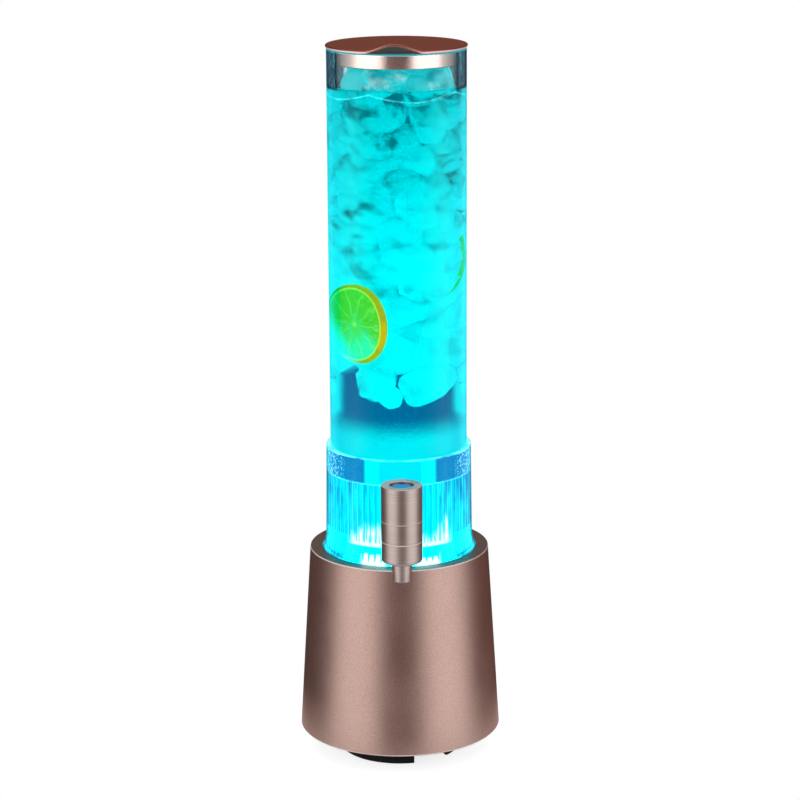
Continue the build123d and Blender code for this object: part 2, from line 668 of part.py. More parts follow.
# lower section: chamber under the valve, rounded shoulder and the spout
with BuildPart() as tap_nozzle:
    with BuildSketch(Plane(origin=(0, TAP_Y, 0), x_dir=(1, 0, 0), z_dir=(0, -1, 0))):
        with BuildLine():
            spout_wall = Line((SPOUT_TIP_R, SPOUT_Z + 0.6), (SPOUT_TOP_R, TAP_BOTTOM_Z))
            shoulder = Line(
                (SPOUT_TOP_R, TAP_BOTTOM_Z), (TAP_R - TAP_BOTTOM_ROUND, TAP_BOTTOM_Z)
            )
            RadiusArc(
                shoulder @ 1, (TAP_R, TAP_BOTTOM_Z + TAP_BOTTOM_ROUND), -TAP_BOTTOM_ROUND
            )
            Polyline(
                (TAP_R, TAP_BOTTOM_Z + TAP_BOTTOM_ROUND),
                (TAP_R, TAP_LOWER_SEAM_Z - 0.3),
                (TAP_R - 0.3, TAP_LOWER_SEAM_Z),
                (SPIGOT_R, TAP_LOWER_SEAM_Z),
                (SPIGOT_R, SEAT_BOTTOM_Z),
                (SPRING_CHAMBER_R, SEAT_BOTTOM_Z),
                (SPRING_CHAMBER_R, TAP_BOTTOM_Z + 5.0),
                (SPOUT_BORE_R, TAP_BOTTOM_Z + 1.8),
                (SPOUT_BORE_R, SPOUT_Z),
                (SPOUT_TIP_R - 0.6, SPOUT_Z),
                spout_wall @ 0,
            )
        make_face()
    revolve(axis=Axis(origin=(0, TAP_Y, 0), direction=(0, 0, 1)))

tap_nozzle.part.label = "tap_nozzle"
export_step(tap_nozzle.part, "parts/tap_nozzle.step")

# seat ring clamped between the middle and lower sections
with BuildPart() as valve_seat:
    with BuildSketch(level(SEAT_BOTTOM_Z, 0, TAP_Y)):
        Circle(SPIGOT_R)
        Circle(4.0, mode=Mode.SUBTRACT)
    extrude(amount=SEAT_TOP_Z - SEAT_BOTTOM_Z)
    seat_edges = valve_seat.edges().filter_by(GeomType.CIRCLE).group_by(Axis.Z)[-1]
    chamfer(seat_edges.sort_by(SortBy.RADIUS)[0], length=0.6)

valve_seat.part.label = "valve_seat"
export_step(valve_seat.part, "parts/valve_seat.step")

# silicone washers on both sides of the wall, cut to the wall's curve
with BuildPart() as outer_washer:
    with BuildSketch(towards_tube(FLANGE_Y)):
        Circle(STEM_FLANGE_R + 0.4)
        Circle(STEM_THREAD_R + 0.05, mode=Mode.SUBTRACT)
    extrude(amount=6)
    with BuildSketch(level(STEM_Z - 15)):
        Circle(sleeve_radius(STEM_Z - 15))
    with BuildSketch(level(STEM_Z + 15)):
        Circle(sleeve_radius(STEM_Z + 15))
    loft(mode=Mode.SUBTRACT)

outer_washer.part.label = "outer_washer"
export_step(outer_washer.part, "parts/outer_washer.step")

with BuildPart() as inner_washer:
    with BuildSketch(towards_tube(-TUBE_BORE_R - 1)):
        Circle(STEM_FLANGE_R)
        Circle(STEM_THREAD_R + 0.05, mode=Mode.SUBTRACT)
    extrude(amount=NUT_FACE_Y + TUBE_BORE_R + 1)
    with BuildSketch(level(STEM_Z - 15)):
        Circle(TUBE_BORE_R)
    extrude(amount=30, mode=Mode.INTERSECT)

inner_washer.part.label = "inner_washer"
export_step(inner_washer.part, "parts/inner_washer.step")

# hexagon nut inside the tube
with BuildPart() as tap_nut:
    with BuildSketch(towards_tube(NUT_FACE_Y)):
        RegularPolygon(NUT_HALF_FLATS, 6, major_radius=False)
        Circle(STEM_THREAD_R + 0.05, mode=Mode.SUBTRACT)
    extrude(amount=NUT_T)

tap_nut.part.label = "tap_nut"
export_step(tap_nut.part, "parts/tap_nut.step")

# square-section ring that seals the spindle, in its pocket under the spring
with BuildPart() as spindle_ring:
    with BuildSketch(level(SPRING_FLOOR_Z - SEAL_POCKET_H + 0.1, 0, TAP_Y)):
        Circle(SEAL_POCKET_R - 0.05)
        Circle(SPINDLE_R + 0.05, mode=Mode.SUBTRACT)
    extrude(amount=SEAL_POCKET_H - 0.2)
    chamfer(spindle_ring.edges().filter_by(GeomType.CIRCLE), length=0.3)

spindle_ring.part.label = "spindle_ring"
export_step(spindle_ring.part, "parts/spindle_ring.step")

# coil spring that lifts the button and shuts the valve
with BuildPart() as return_spring:
    wire_half = SPRING_WIRE_H / 2 + SPRING_END_GAP
    spring_rise = BUTTON_BOTTOM_Z - SPRING_FLOOR_Z - 2 * wire_half
    with BuildLine() as coil:
        Helix(
            pitch=spring_rise / SPRING_TURNS,
            height=spring_rise,
            radius=SPRING_R,
            center=(0, TAP_Y, SPRING_FLOOR_Z + wire_half),
        )
    with BuildSketch(Plane(origin=coil.line @ 0, x_dir=(1, 0, 0), z_dir=coil.line % 0)):
        Rectangle(SPRING_WIRE_W, SPRING_WIRE_H)
    sweep(path=coil.line, is_frenet=True)

return_spring.part.label = "return_spring"
export_step(return_spring.part, "parts/return_spring.step")

# the moving parts of the valve: button, spindle and the soft poppet under the seat
with BuildPart() as tap_button:
    with BuildSketch(level(BUTTON_BOTTOM_Z, 0, TAP_Y)):
        Circle(BUTTON_R)
    extrude(amount=BUTTON_T)
    fillet(tap_button.edges().group_by(Axis.Z)[-1], radius=0.6)
    with BuildSketch(level(BUTTON_BOTTOM_Z, 0, TAP_Y)):
        Circle(SPINDLE_R + 0.02)
    extrude(amount=3.0, mode=Mode.SUBTRACT)

tap_button.part.label = "tap_button"
export_step(tap_button.part, "parts/tap_button.step")

POPPET_T = 3.0

with BuildPart() as tap_spindle:
    with BuildSketch(level(SEAT_BOTTOM_Z - POPPET_T - 1.2, 0, TAP_Y)):
        Circle(3.2)
    extrude(amount=1.2)
    with BuildSketch(level(SEAT_BOTTOM_Z - POPPET_T, 0, TAP_Y)):
        Circle(SPINDLE_R)
    extrude(amount=BUTTON_BOTTOM_Z + 3.0 - SEAT_BOTTOM_Z + POPPET_T)
    chamfer(tap_spindle.edges().group_by(Axis.Z)[0], length=0.4)

tap_spindle.part.label = "tap_spindle"
export_step(tap_spindle.part, "parts/tap_spindle.step")

with BuildPart() as valve_poppet:
    with BuildSketch(level(SEAT_BOTTOM_Z - POPPET_T, 0, TAP_Y)):
        Circle(5.2)
    extrude(amount=POPPET_T)
    chamfer(valve_poppet.edges().group_by(Axis.Z)[0], length=0.8)
    with BuildSketch(level(SEAT_BOTTOM_Z - POPPET_T, 0, TAP_Y)):
        Circle(SPINDLE_R + 0.02)
    extrude(amount=POPPET_T, mode=Mode.SUBTRACT)

valve_poppet.part.label = "valve_poppet"
export_step(valve_poppet.part, "parts/valve_poppet.step")

# ---------------------------------------------------------------- lid

LID_X = (cos(radians(LID_TURN)), sin(radians(LID_TURN)), 0)
LID_FRONT = (sin(radians(LID_TURN)), -cos(radians(LID_TURN)), 0)
LIP_SECTIONS = 7
LIP_STATIONS = 9


def lip_plane(distance):
    """An upright plane across the lip, at this distance from the axis, facing the front."""
    return Plane(
        origin=(LID_FRONT[0] * distance, LID_FRONT[1] * distance, LID_BOTTOM_Z),
        x_dir=LID_X,
        z_dir=LID_FRONT,
    )


def lip_wave(rise):
    """Points of a raised-cosine wave over the lip's width, as high as rise in the middle."""
    steps = [2 * i / (LIP_STATIONS - 1) - 1 for i in range(LIP_STATIONS)]
    return [(LIP_HALF_W * s, rise * cos(pi * s / 2) ** 2) for s in steps]


# the finger lip: the sheet rises in a wave that grows from nothing towards the front edge
with BuildPart() as lip_form:
    for section in range(LIP_SECTIONS):
        share = section / (LIP_SECTIONS - 1)
        rise = LIP_RISE * (1 - cos(pi * share)) / 2
        with BuildSketch(lip_plane(LIP_BACK + share * (LID_R + 0.6 - LIP_BACK))):
            with BuildLine():
                under = Spline(*lip_wave(rise), tangents=((1, 0), (1, 0)))
                over = Spline(
                    *[(x, z + LID_T) for x, z in lip_wave(rise)],
                    tangents=((1, 0), (1, 0)),
                )
                Line(under @ 0, over @ 0)
                Line(under @ 1, over @ 1)
            make_face()
    loft()
    with BuildSketch(level(LID_BOTTOM_Z - 1)):
        Circle(LID_R)
    extrude(amount=LID_T + LIP_RISE + 2, mode=Mode.INTERSECT)

with BuildPart() as lid_cover:
    with BuildSketch(level(LID_BOTTOM_Z)):
        Circle(LID_R)
    extrude(amount=LID_T)
    with BuildSketch(Plane(origin=(0, 0, LID_BOTTOM_Z), x_dir=LID_X, z_dir=(0, 0, 1))):
        with Locations((0, -(LIP_BACK + LID_R + 1) / 2)):
            Rectangle(2 * LIP_HALF_W, LID_R + 1 - LIP_BACK)
    extrude(amount=LID_T, mode=Mode.SUBTRACT)
    add(lip_form.part)
    rim_edges = lid_cover.edges().filter_by(
        lambda edge: hypot((edge @ 0.5).X, (edge @ 0.5).Y) > LID_R - 0.02
        and edge.length > 2 * LID_T
    )
    fillet(rim_edges, radius=LID_EDGE_ROUND)

lid_cover.part.label = "lid_cover"
export_step(lid_cover.part, "parts/lid_cover.step")

# cup under the lid that fits into the tube
with BuildPart() as lid_plug:
    with BuildSketch(level(PLUG_BOTTOM_Z)):
        Circle(PLUG_R)
    extrude(amount=LID_BOTTOM_Z - PLUG_BOTTOM_Z)
    chamfer(lid_plug.edges().group_by(Axis.Z)[0], length=0.5)
    with BuildSketch(level(PLUG_BOTTOM_Z)):
        Circle(PLUG_R - PLUG_WALL)
    extrude(amount=LID_BOTTOM_Z - PLUG_BOTTOM_Z - PLUG_WALL, mode=Mode.SUBTRACT)

lid_plug.part.label = "lid_plug"
export_step(lid_plug.part, "parts/lid_plug.step")

# soft ring between the lid and the tube's rim
with BuildPart() as lid_seal:
    with BuildSketch(level(TUBE_TOP_Z)):
        Circle(TUBE_R - 0.5)
        Circle(PLUG_R + 0.1, mode=Mode.SUBTRACT)
    extrude(amount=LID_BOTTOM_Z - TUBE_TOP_Z)

lid_seal.part.label = "lid_seal"
export_step(lid_seal.part, "parts/lid_seal.step")
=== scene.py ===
"""Looks of a lit drinks tower: satin bronze housing, press tap and lid, a clear tube with its fluted
light sleeve, and the iced drink that glows inside it.

Metres, +Z up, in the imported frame: the origin is on the tube's axis at the table, the tap points along -Y.
"""

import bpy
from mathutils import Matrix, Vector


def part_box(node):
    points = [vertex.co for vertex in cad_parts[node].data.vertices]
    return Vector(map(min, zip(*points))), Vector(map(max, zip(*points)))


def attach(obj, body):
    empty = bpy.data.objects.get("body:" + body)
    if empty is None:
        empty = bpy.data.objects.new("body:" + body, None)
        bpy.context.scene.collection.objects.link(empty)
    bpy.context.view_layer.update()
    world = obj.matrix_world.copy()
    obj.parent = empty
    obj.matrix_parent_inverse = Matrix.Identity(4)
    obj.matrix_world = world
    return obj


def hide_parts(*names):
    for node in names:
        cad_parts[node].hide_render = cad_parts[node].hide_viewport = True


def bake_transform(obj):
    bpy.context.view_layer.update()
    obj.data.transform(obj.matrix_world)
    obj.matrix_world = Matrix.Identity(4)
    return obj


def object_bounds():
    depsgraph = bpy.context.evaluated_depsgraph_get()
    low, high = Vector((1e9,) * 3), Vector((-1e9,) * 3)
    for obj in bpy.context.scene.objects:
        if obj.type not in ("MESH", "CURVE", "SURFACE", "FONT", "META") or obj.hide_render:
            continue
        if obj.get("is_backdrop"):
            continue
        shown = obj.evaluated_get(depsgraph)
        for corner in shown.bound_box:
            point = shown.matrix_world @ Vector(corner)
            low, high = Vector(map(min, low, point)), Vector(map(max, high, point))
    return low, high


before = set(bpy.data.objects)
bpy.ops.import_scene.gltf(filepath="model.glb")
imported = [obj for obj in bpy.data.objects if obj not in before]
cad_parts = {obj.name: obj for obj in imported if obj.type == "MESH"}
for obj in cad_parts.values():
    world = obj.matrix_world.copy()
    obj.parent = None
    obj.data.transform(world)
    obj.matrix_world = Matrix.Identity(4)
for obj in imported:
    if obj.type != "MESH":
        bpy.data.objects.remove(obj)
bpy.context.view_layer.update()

import inspect
import logging
import math
from collections.abc import Callable
from dataclasses import dataclass
from enum import Enum
from functools import cache
from typing import ClassVar, TypeAlias

import bpy
import numpy as np
from mathutils import Matrix, Vector

MM = 0.001
TAU = 2.0 * math.pi
Colour = tuple[float, float, float]
Span = tuple[float, float]
Looks = dict[str, object]
Point = tuple[float, float, float] | np.ndarray
Value: TypeAlias = "Wire | float"
BLACK: Colour = (0.0, 0.0, 0.0)
WHITE: Colour = (1.0, 1.0, 1.0)
ACRYLIC_IOR = 1.49
TAP_AXIS_Y = -0.084
# the numbers of a Mix node's colour sockets, and of its colour output
MIX_FIRST, MIX_SECOND, MIX_RESULT = 6, 7, 2

log = logging.getLogger("drinks_tower")


@dataclass(frozen=True)
class Landmarks:
    """Heights that the looks refer to, each worked out from the frame's boxes."""

    rim: float
    base_foot: float
    tap_top: float
    plug: float
    tube_top: float
    floor: float
    sleeve_top: float

    @classmethod
    def read(cls) -> "Landmarks":
        """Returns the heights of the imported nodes."""
        return cls(
            rim=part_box("base_shell")[1].z,
            base_foot=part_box("base_shell")[0].z,
            tap_top=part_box("tap_barrel")[1].z,
            plug=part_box("lid_plug")[0].z,
            tube_top=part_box("tube")[1].z,
            floor=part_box("tube_floor")[1].z,
            sleeve_top=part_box("light_sleeve")[1].z,
        )

    @property
    def tap_seams(self) -> Span:
        """The two seams between the tap's turned sections."""
        return self.tap_top - 23.6 * MM, self.tap_top - 37.1 * MM

    @property
    def flute_top(self) -> float:
        """Where the sleeve's flutes end under its plain band."""
        return self.sleeve_top - 16.5 * MM

    @property
    def drink_level(self) -> float:
        """The drink's surface, a little under the plug."""
        return self.plug - 15.3 * MM

    @property
    def lit_top(self) -> float:
        """The top of the brightly lit layer over the lamp."""
        return self.floor + 71.5 * MM

    @property
    def ice_foot(self) -> float:
        """The height of the lowest ice."""
        return self.floor + 87.0 * MM


# ---------------------------------------------------------------- node sheets and shared effects


class Wire:
    """A value on a sheet: an output socket that can be reckoned with like a number."""

    def __init__(self, sheet: "Sheet", socket: bpy.types.NodeSocket) -> None:
        """Keeps the sheet and the socket."""
        self.sheet = sheet
        self.socket = socket

    def __add__(self, other: Value) -> "Wire":
        """Returns the sum."""
        return self.math("ADD", other)

    def __radd__(self, other: float) -> "Wire":
        """Returns a number and this, summed."""
        return self.sheet.math("ADD", other, self)

    def __sub__(self, other: Value) -> "Wire":
        """Returns this less the other."""
        return self.math("SUBTRACT", other)

    def __rsub__(self, other: float) -> "Wire":
        """Returns a number less this."""
        return self.sheet.math("SUBTRACT", other, self)

    def __mul__(self, other: Value) -> "Wire":
        """Returns the product."""
        return self.math("MULTIPLY", other)

    def __truediv__(self, other: Value) -> "Wire":
        """Returns this over the other."""
        return self.math("DIVIDE", other)

    def __pow__(self, other: float) -> "Wire":
        """Returns the power."""
        return self.math("POWER", other)

    def __abs__(self) -> "Wire":
        """Returns the size without the sign."""
        return self.math("ABSOLUTE")

    def __or__(self, other: Value) -> "Wire":
        """Returns the larger of the two."""
        return self.math("MAXIMUM", other)

    def math(self, operation: str, other: Value = 0.0) -> "Wire":
        """Returns one Math node's result on this and another value."""
        return self.sheet.math(operation, self, other)

    def vector(self, operation: str, inputs: dict, output: int | str = 0) -> "Wire":
        """Returns one Vector Math node's result on this and further inputs."""
        return self.sheet.wire("VectorMath", output, {0: self, **inputs}, operation=operation)

    def ramp(self, low: float, high: float, out: Span = (0.0, 1.0)) -> "Wire":
        """Returns this eased smoothly from out[0] at low to out[1] at high."""
        ends = {"Value": self, "From Min": low, "From Max": high, "To Min": out[0], "To Max": out[1]}
        return self.sheet.wire("MapRange", "Result", ends, interpolation_type="SMOOTHSTEP")

    def window(self, low: float, high: float, soft: float) -> "Wire":
        """Returns 1 where this is between low and high, falling smoothly to 0 over soft at each end."""
        return self.ramp(low - soft, low) * self.ramp(high, high + soft, (1.0, 0.0))

    def blend(self, first: object, second: object) -> "Wire":
        """Returns the colour that goes from first to second as this goes from 0 to 1."""
        return self.sheet.blend(self, first, second)

    def noise(self, scale: Value, detail: float = 3.0, rough: float = 0.5, swirl: float = 0.0) -> "Wire":
        """Returns fractal noise from 0 to 1 at this place, scale cells to the metre, distorted by swirl."""
        inputs = {"Vector": self, "Scale": scale, "Detail": detail, "Roughness": rough, "Distortion": swirl}
        return self.sheet.wire("TexNoise", "Fac", inputs)

    def split(self) -> tuple["Wire", "Wire", "Wire"]:
        """Returns the x, y and z of this place."""
        x, y, z = self.sheet.put("SeparateXYZ", {0: self}).outputs
        return Wire(self.sheet, x), Wire(self.sheet, y), Wire(self.sheet, z)

    def bump(self, strength: float, distance: float) -> "Wire":
        """Returns the normal of a surface raised by this height."""
        return self.sheet.wire("Bump", 0, {"Height": self, "Strength": strength, "Distance": distance})


class Sheet:
    """A node tree with short calls for laying and joining its nodes."""

    def __init__(self, tree: bpy.types.NodeTree) -> None:
        """Keeps the tree that the nodes go into."""
        self.tree = tree

    @classmethod
    def of(cls, owner: bpy.types.Material | bpy.types.World) -> "Sheet":
        """Opens the node tree of a material or a world, emptied."""
        owner.use_nodes = True
        owner.node_tree.nodes.clear()
        return cls(owner.node_tree)

    def put(self, kind: str, inputs: dict | None = None, **settings: object) -> bpy.types.Node:
        """Lays one node.

        Args:
            kind: the node's type name, of which a leading ShaderNode is left out.
            inputs: socket name or number to a value, or to the wire that feeds it. A colour has no alpha.
            settings: the node's own properties.

        Returns:
            The new node.
        """
        node = self.tree.nodes.new(kind if kind.startswith("Node") else f"ShaderNode{kind}")
        for name, value in settings.items():
            setattr(node, name, value)
        for name, value in (inputs or {}).items():
            target = node.inputs[name]
            if isinstance(value, Wire):
                self.tree.links.new(value.socket, target)
            else:
                target.default_value = (*value, 1.0) if target.type == "RGBA" else value
        return node

    def wire(self, kind: str, output: int | str = 0, inputs: dict | None = None, **settings: object) -> Wire:
        """Lays one node and returns one of its outputs."""
        return Wire(self, self.put(kind, inputs, **settings).outputs[output])

    def math(self, operation: str, first: Value, second: Value) -> Wire:
        """Returns one Math node's result on two values."""
        return self.wire("Math", 0, {0: first, 1: second}, operation=operation)

    def blend(self, share: Value, first: object, second: object) -> Wire:
        """Returns the colour that goes from first to second as share goes from 0 to 1."""
        return self.wire("Mix", MIX_RESULT, {0: share, MIX_FIRST: first, MIX_SECOND: second}, data_type="RGBA")

    def join(self, x: Value, y: Value, z: Value) -> Wire:
        """Returns the place with these x, y and z."""
        return self.wire("CombineXYZ", 0, {0: x, 1: y, 2: z})

    def place(self) -> Wire:
        """Returns the object coordinates, which are the frame's."""
        return self.wire("TexCoord", "Object")

    def facing(self) -> Wire:
        """Returns 0 where the surface is seen face-on, 1 where it is seen edge-on."""
        return self.wire("LayerWeight", "Facing", {"Blend": 0.5})

    def upward(self) -> Wire:
        """Returns how far the surface looks up, from -1 to 1."""
        return self.wire("NewGeometry", "Normal").split()[2]

    def seen(self) -> Wire:
        """Returns 1 for what the camera sees, straight, in gloss or through glass, and 0 otherwise."""
        paths = self.put("LightPath").outputs
        straight, glossy, through = (Wire(self, paths[f"Is {ray} Ray"])
                                     for ray in ("Camera", "Glossy", "Transmission"))
        return straight | (glossy | through)


def reach(x: Wire, y: Wire) -> Wire:
    """Returns the length of (x, y)."""
    return (x * x + y * y).math("SQRT")


def shared_effect(*gives: str) -> Callable:
    """Turns a drawing function into a node group of its name, built at its first use.

    Args:
        gives: names of the group's outputs, in the order that the function returns them.

    Returns:
        The decorator. What it makes takes wires or numbers, first a wire, and returns the outputs.
    """
    def wrap(draw: Callable) -> Callable:
        takes = [name.replace("_", " ").title() for name in inspect.signature(draw).parameters]

        @cache
        def group() -> bpy.types.NodeTree:
            tree = bpy.data.node_groups.new(draw.__name__, "ShaderNodeTree")
            for label in takes:
                kind = "NodeSocketVector" if label == "Place" else "NodeSocketFloat"
                tree.interface.new_socket(label, in_out="INPUT", socket_type=kind)
            for label in gives:
                tree.interface.new_socket(label, in_out="OUTPUT", socket_type="NodeSocketFloat")
            sheet = Sheet(tree)
            entry = sheet.put("NodeGroupInput").outputs
            results = draw(*(Wire(sheet, entry[label]) for label in takes))
            sheet.put("NodeGroupOutput", dict(zip(gives, results)))
            return tree

        def lay(first: Wire, *others: Value) -> list[Wire] | Wire:
            node = first.sheet.put("Group", dict(enumerate((first, *others))), node_tree=group())
            wires = [Wire(first.sheet, socket) for socket in node.outputs]
            return wires if len(wires) > 1 else wires[0]

        return lay
    return wrap


@shared_effect("Tone", "Height")
def fine_grain(place: Wire, cells: Wire) -> tuple[Wire, Wire]:
    """Fine speckle: two noises a factor of 2.7 apart, averaged, for tone and for height."""
    mean = (place.noise(cells, 2.0) + place.noise(cells * 2.7, 1.0)) * 0.5
    return mean.ramp(0.32, 0.68), mean


@shared_effect("Tone", "Height")
def turning_lines(place: Wire, axis_y: Wire, cells: Wire) -> tuple[Wire, Wire]:
    """Lathe lines: noise that reads only the radius from an upright axis and the height."""
    x, y, z = place.split()
    lines = place.sheet.join(reach(x, y - axis_y), 0.0, z).noise(cells, 2.0, 0.6)
    return lines.ramp(0.3, 0.7), lines


@shared_effect("Tone")
def broad_cloud(place: Wire, cells: Wire, push: Wire) -> tuple[Wire]:
    """Broad drift of tone: noise whose place is itself pushed about by a slower noise."""
    slow = place.sheet.wire("TexNoise", "Color", {"Vector": place, "Scale": cells, "Detail": 1.0})
    offset = slow.vector("SUBTRACT", {1: (0.5, 0.5, 0.5)}).vector("SCALE", {"Scale": push})
    return (place.vector("ADD", {1: offset}).noise(cells, 2.0).ramp(0.3, 0.7),)


@shared_effect("Mask")
def soft_band(value: Wire, level: Wire, width: Wire) -> tuple[Wire]:
    """A soft band: 1 where a value equals a level, falling smoothly to 0 at a width to each side."""
    return ((1.0 - abs(value - level) / width).ramp(0.0, 1.0),)


@shared_effect("Mask")
def handling_dust(place: Wire, cells: Wire) -> tuple[Wire]:
    """Handling marks: sparse specks where a fine noise peaks inside patches of a broad one."""
    patches = place.noise(cells * 0.04, 2.0).ramp(0.45, 0.7)
    return (patches * place.noise(cells, 1.0).ramp(0.62, 0.72),)


# ---------------------------------------------------------------- finishes


class Grain(Enum):
    """How a metal surface was worked."""

    BLASTED = "blasted"
    TURNED = "turned"


@dataclass(frozen=True)
class Finish:
    """What every finish has: a name, and a Principled surface whose looks depend on the place."""

    name: str

    def looks(self, place: Wire) -> Looks:
        """Returns the surface shader's inputs, and a Volume where the stuff has one."""
        raise NotImplementedError

    def make(self) -> bpy.types.Material:
        """Returns the finish as a material."""
        material = bpy.data.materials.new(self.name)
        sheet = Sheet.of(material)
        looks = self.looks(sheet.place())
        volume = {"Volume": looks.pop("Volume")} if "Volume" in looks else {}
        sheet.put("OutputMaterial", {"Surface": sheet.wire("BsdfPrincipled", 0, looks), **volume})
        return material


@dataclass(frozen=True)
class MetalFinish(Finish):
    """Satin plated metal: two close tones, a worked grain, and painted highlight rings at given heights, which
    pick out edges and seams and are broken up like wear.
    """

    deep: Colour = (0.27, 0.165, 0.142)
    bright: Colour = (0.345, 0.245, 0.212)
    worn: Colour = (0.62, 0.47, 0.42)
    roughness: float = 0.36
    grain: Grain = Grain.BLASTED
    cells: float = 900.0
    relief: float = 0.00004
    worn_heights: tuple[float, ...] = ()
    worn_width: float = 0.0009
    worn_rough: float = 0.2
    worn_metal: float = 0.35
    drifting: float = 0.12
    dusty_rough: float = 0.12
    grazing: Colour = WHITE
    lit_below: Colour = BLACK

    def looks(self, place: Wire) -> Looks:
        """Returns the metal's looks."""
        if self.grain is Grain.TURNED:
            tone, relief = turning_lines(place, TAP_AXIS_Y, self.cells)
        else:
            tone, relief = fine_grain(place, self.cells)
        drift = broad_cloud(place, 28.0, 0.02)
        colour = (tone * (1.0 - self.drifting) + drift * self.drifting).blend(self.deep, self.bright)
        rough = (drift.ramp(0.0, 1.0, (self.roughness - 0.02, self.roughness + 0.02))
                 + handling_dust(place, 1500.0) * self.dusty_rough)
        metal = 1.0
        # painted highlight: a bright, rougher, less metallic ring at each given height, broken up by the drift
        for level in self.worn_heights:
            broken = soft_band(place.split()[2], level, self.worn_width) * drift.ramp(0.0, 0.8, (0.6, 1.0))
            colour = broken.blend(colour, self.worn)
            rough = rough + broken * self.worn_rough
            metal = metal - broken * (1.0 - self.worn_metal)
        looks = {
            "Base Color": colour,
            "Roughness": rough,
            "Normal": relief.bump(0.5, self.relief),
            "Metallic": metal,
            "Specular Tint": self.grazing,
        }
        # painted light: faces that look down glow in the lit_below colour
        if any(self.lit_below):
            lit = place.sheet.upward().ramp(-0.3, -0.9) * drift.ramp(0.0, 1.0, (0.6, 1.0))
            looks |= {"Emission Color": lit.blend(BLACK, self.lit_below), "Emission Strength": 1.0}
        return looks


@dataclass(frozen=True)
class MouldedFinish(Finish):
    """Moulded plastic, rubber or silicone: a tone that drifts, a texture of the tool, and handling dust."""

    deep: Colour = (0.03, 0.03, 0.032)
    bright: Colour = (0.045, 0.045, 0.048)
    dusty: Colour = (0.2, 0.2, 0.2)
    roughness: float = 0.5
    cells: float = 1400.0
    relief: float = 0.00006
    coat: float = 0.0
    sheen: float = 0.0
    gloss: float = 0.5
    glow: Colour = BLACK

    def looks(self, place: Wire) -> Looks:
        """Returns the moulding's looks."""
        tone, relief = fine_grain(place, self.cells)
        drift = broad_cloud(place, 45.0, 0.015)
        body = (drift * 0.6 + tone * 0.4).blend(self.deep, self.bright)
        return {
            "Base Color": (handling_dust(place, 1100.0) * 0.35).blend(body, self.dusty),
            "Roughness": drift.ramp(0.0, 1.0, (self.roughness - 0.06, self.roughness + 0.06)),
            "Normal": relief.bump(0.6, self.relief),
            "Coat Weight": self.coat,
            "Coat Roughness": 0.05,
            "Sheen Weight": self.sheen,
            "Specular IOR Level": self.gloss,
            "Emission Color": self.glow,
            "Emission Strength": 1.0,
        }


@dataclass(frozen=True)
class ClearFinish(Finish):
    """Clear moulding or liquid: plain transmission, a faint waviness, and a tint taken up along the way."""

    tint: Colour = WHITE
    ior: float = ACRYLIC_IOR
    roughness: Span = (0.0, 0.02)
    wave_cells: float = 30.0
    wave: float = 0.00002
    taken: Colour = WHITE
    density: float = 0.0
    gloss: Colour = BLACK
    glow: Colour = BLACK
    glow_strength: float = 0.0

    def looks(self, place: Wire) -> Looks:
        """Returns the clear stuff's looks."""
        drift = broad_cloud(place, self.wave_cells, 0.01)
        looks = {
            "Base Color": self.tint,
            "Roughness": drift.ramp(0.2, 1.0, self.roughness),
            "Normal": drift.bump(0.3, self.wave),
            "IOR": self.ior,
            "Transmission Weight": 1.0,
            "Specular Tint": self.gloss,
            "Emission Color": self.glow,
            "Emission Strength": self.glow_strength,
        }
        if self.density > 0.0:
            taking = {"Color": self.taken, "Density": self.density}
            looks["Volume"] = place.sheet.wire("VolumeAbsorption", 0, taking)
        return looks


@dataclass(frozen=True)
class TubeFinish(ClearFinish):
    """The clear tube: plain in front, and edge-on a painted shade of deep blue above the drink's level and
    painted cyan light below it.
    """

    level: float = 0.0
    rim: float = 0.0
    plain: Colour = (0.96, 1.0, 1.0)
    edge_above: Colour = (0.0005, 0.006, 0.015)
    edge_pale: Colour = (0.006, 0.14, 0.19)
    edge_below: Colour = (0.0, 0.90, 0.97)
    edge_light: Colour = (0.0, 0.34, 0.38)
    outer_light: Colour = (0.0, 0.10, 0.17)
    rim_light: Colour = (0.0, 0.30, 0.38)
    line_light: Colour = (0.06, 0.50, 0.50)
    line_drop: float = 0.0005
    arc_depth: float = 0.0048
    arcs: float = 2.3

    def looks(self, place: Wire) -> Looks:
        """Returns the tube wall's looks."""
        x, y, height = place.split()
        facing = place.sheet.facing()
        stripes = place.sheet.join(x * 5.0, y * 0.2, height * 0.5).noise(420.0, 3.0)
        above = height.ramp(self.level - 0.0008, self.level + 0.0008)
        # painted shade: edge-on the tint goes deep blue above the level, flecked paler, and cyan below it
        pale = stripes.ramp(0.5, 0.64) * facing.ramp(0.8, 0.5)
        edge = above.blend(self.edge_below, pale.blend(self.edge_above, self.edge_pale))
        # painted light: an edge-on glow below and above the level, a band at the tube's top and the waterline
        glow = (facing.ramp(0.45, 0.95) * (1.0 - above)).blend(BLACK, self.edge_light)
        glow = (facing.ramp(0.78, 0.95) * above).blend(glow, self.outer_light)
        glow = height.ramp(self.rim - 0.0007, self.rim - 0.0003).blend(glow, self.rim_light)
        glow = self._waterline(place, x, y, height).blend(glow, self.line_light)
        base = facing.ramp(0.35, 0.50).blend(self.plain, edge)
        return super().looks(place) | {"Base Color": base, "Emission Color": glow, "Emission Strength": 1.0}

    def _waterline(self, place: Wire, x: Wire, y: Wire, height: Wire) -> Wire:
        """Returns a thin line of light that hangs in arcs: level - drop - depth |sin(arcs angle + 1)|."""
        angle = x.math("ARCTAN2", y * -1.0)
        swing = abs((angle * self.arcs + 1.0).math("SINE"))
        gap = abs(height - (self.level - self.line_drop - swing * self.arc_depth))
        return gap.ramp(0.0006, 0.0001) * place.noise(120.0, 2.0).ramp(0.36, 0.60, (0.1, 0.8))


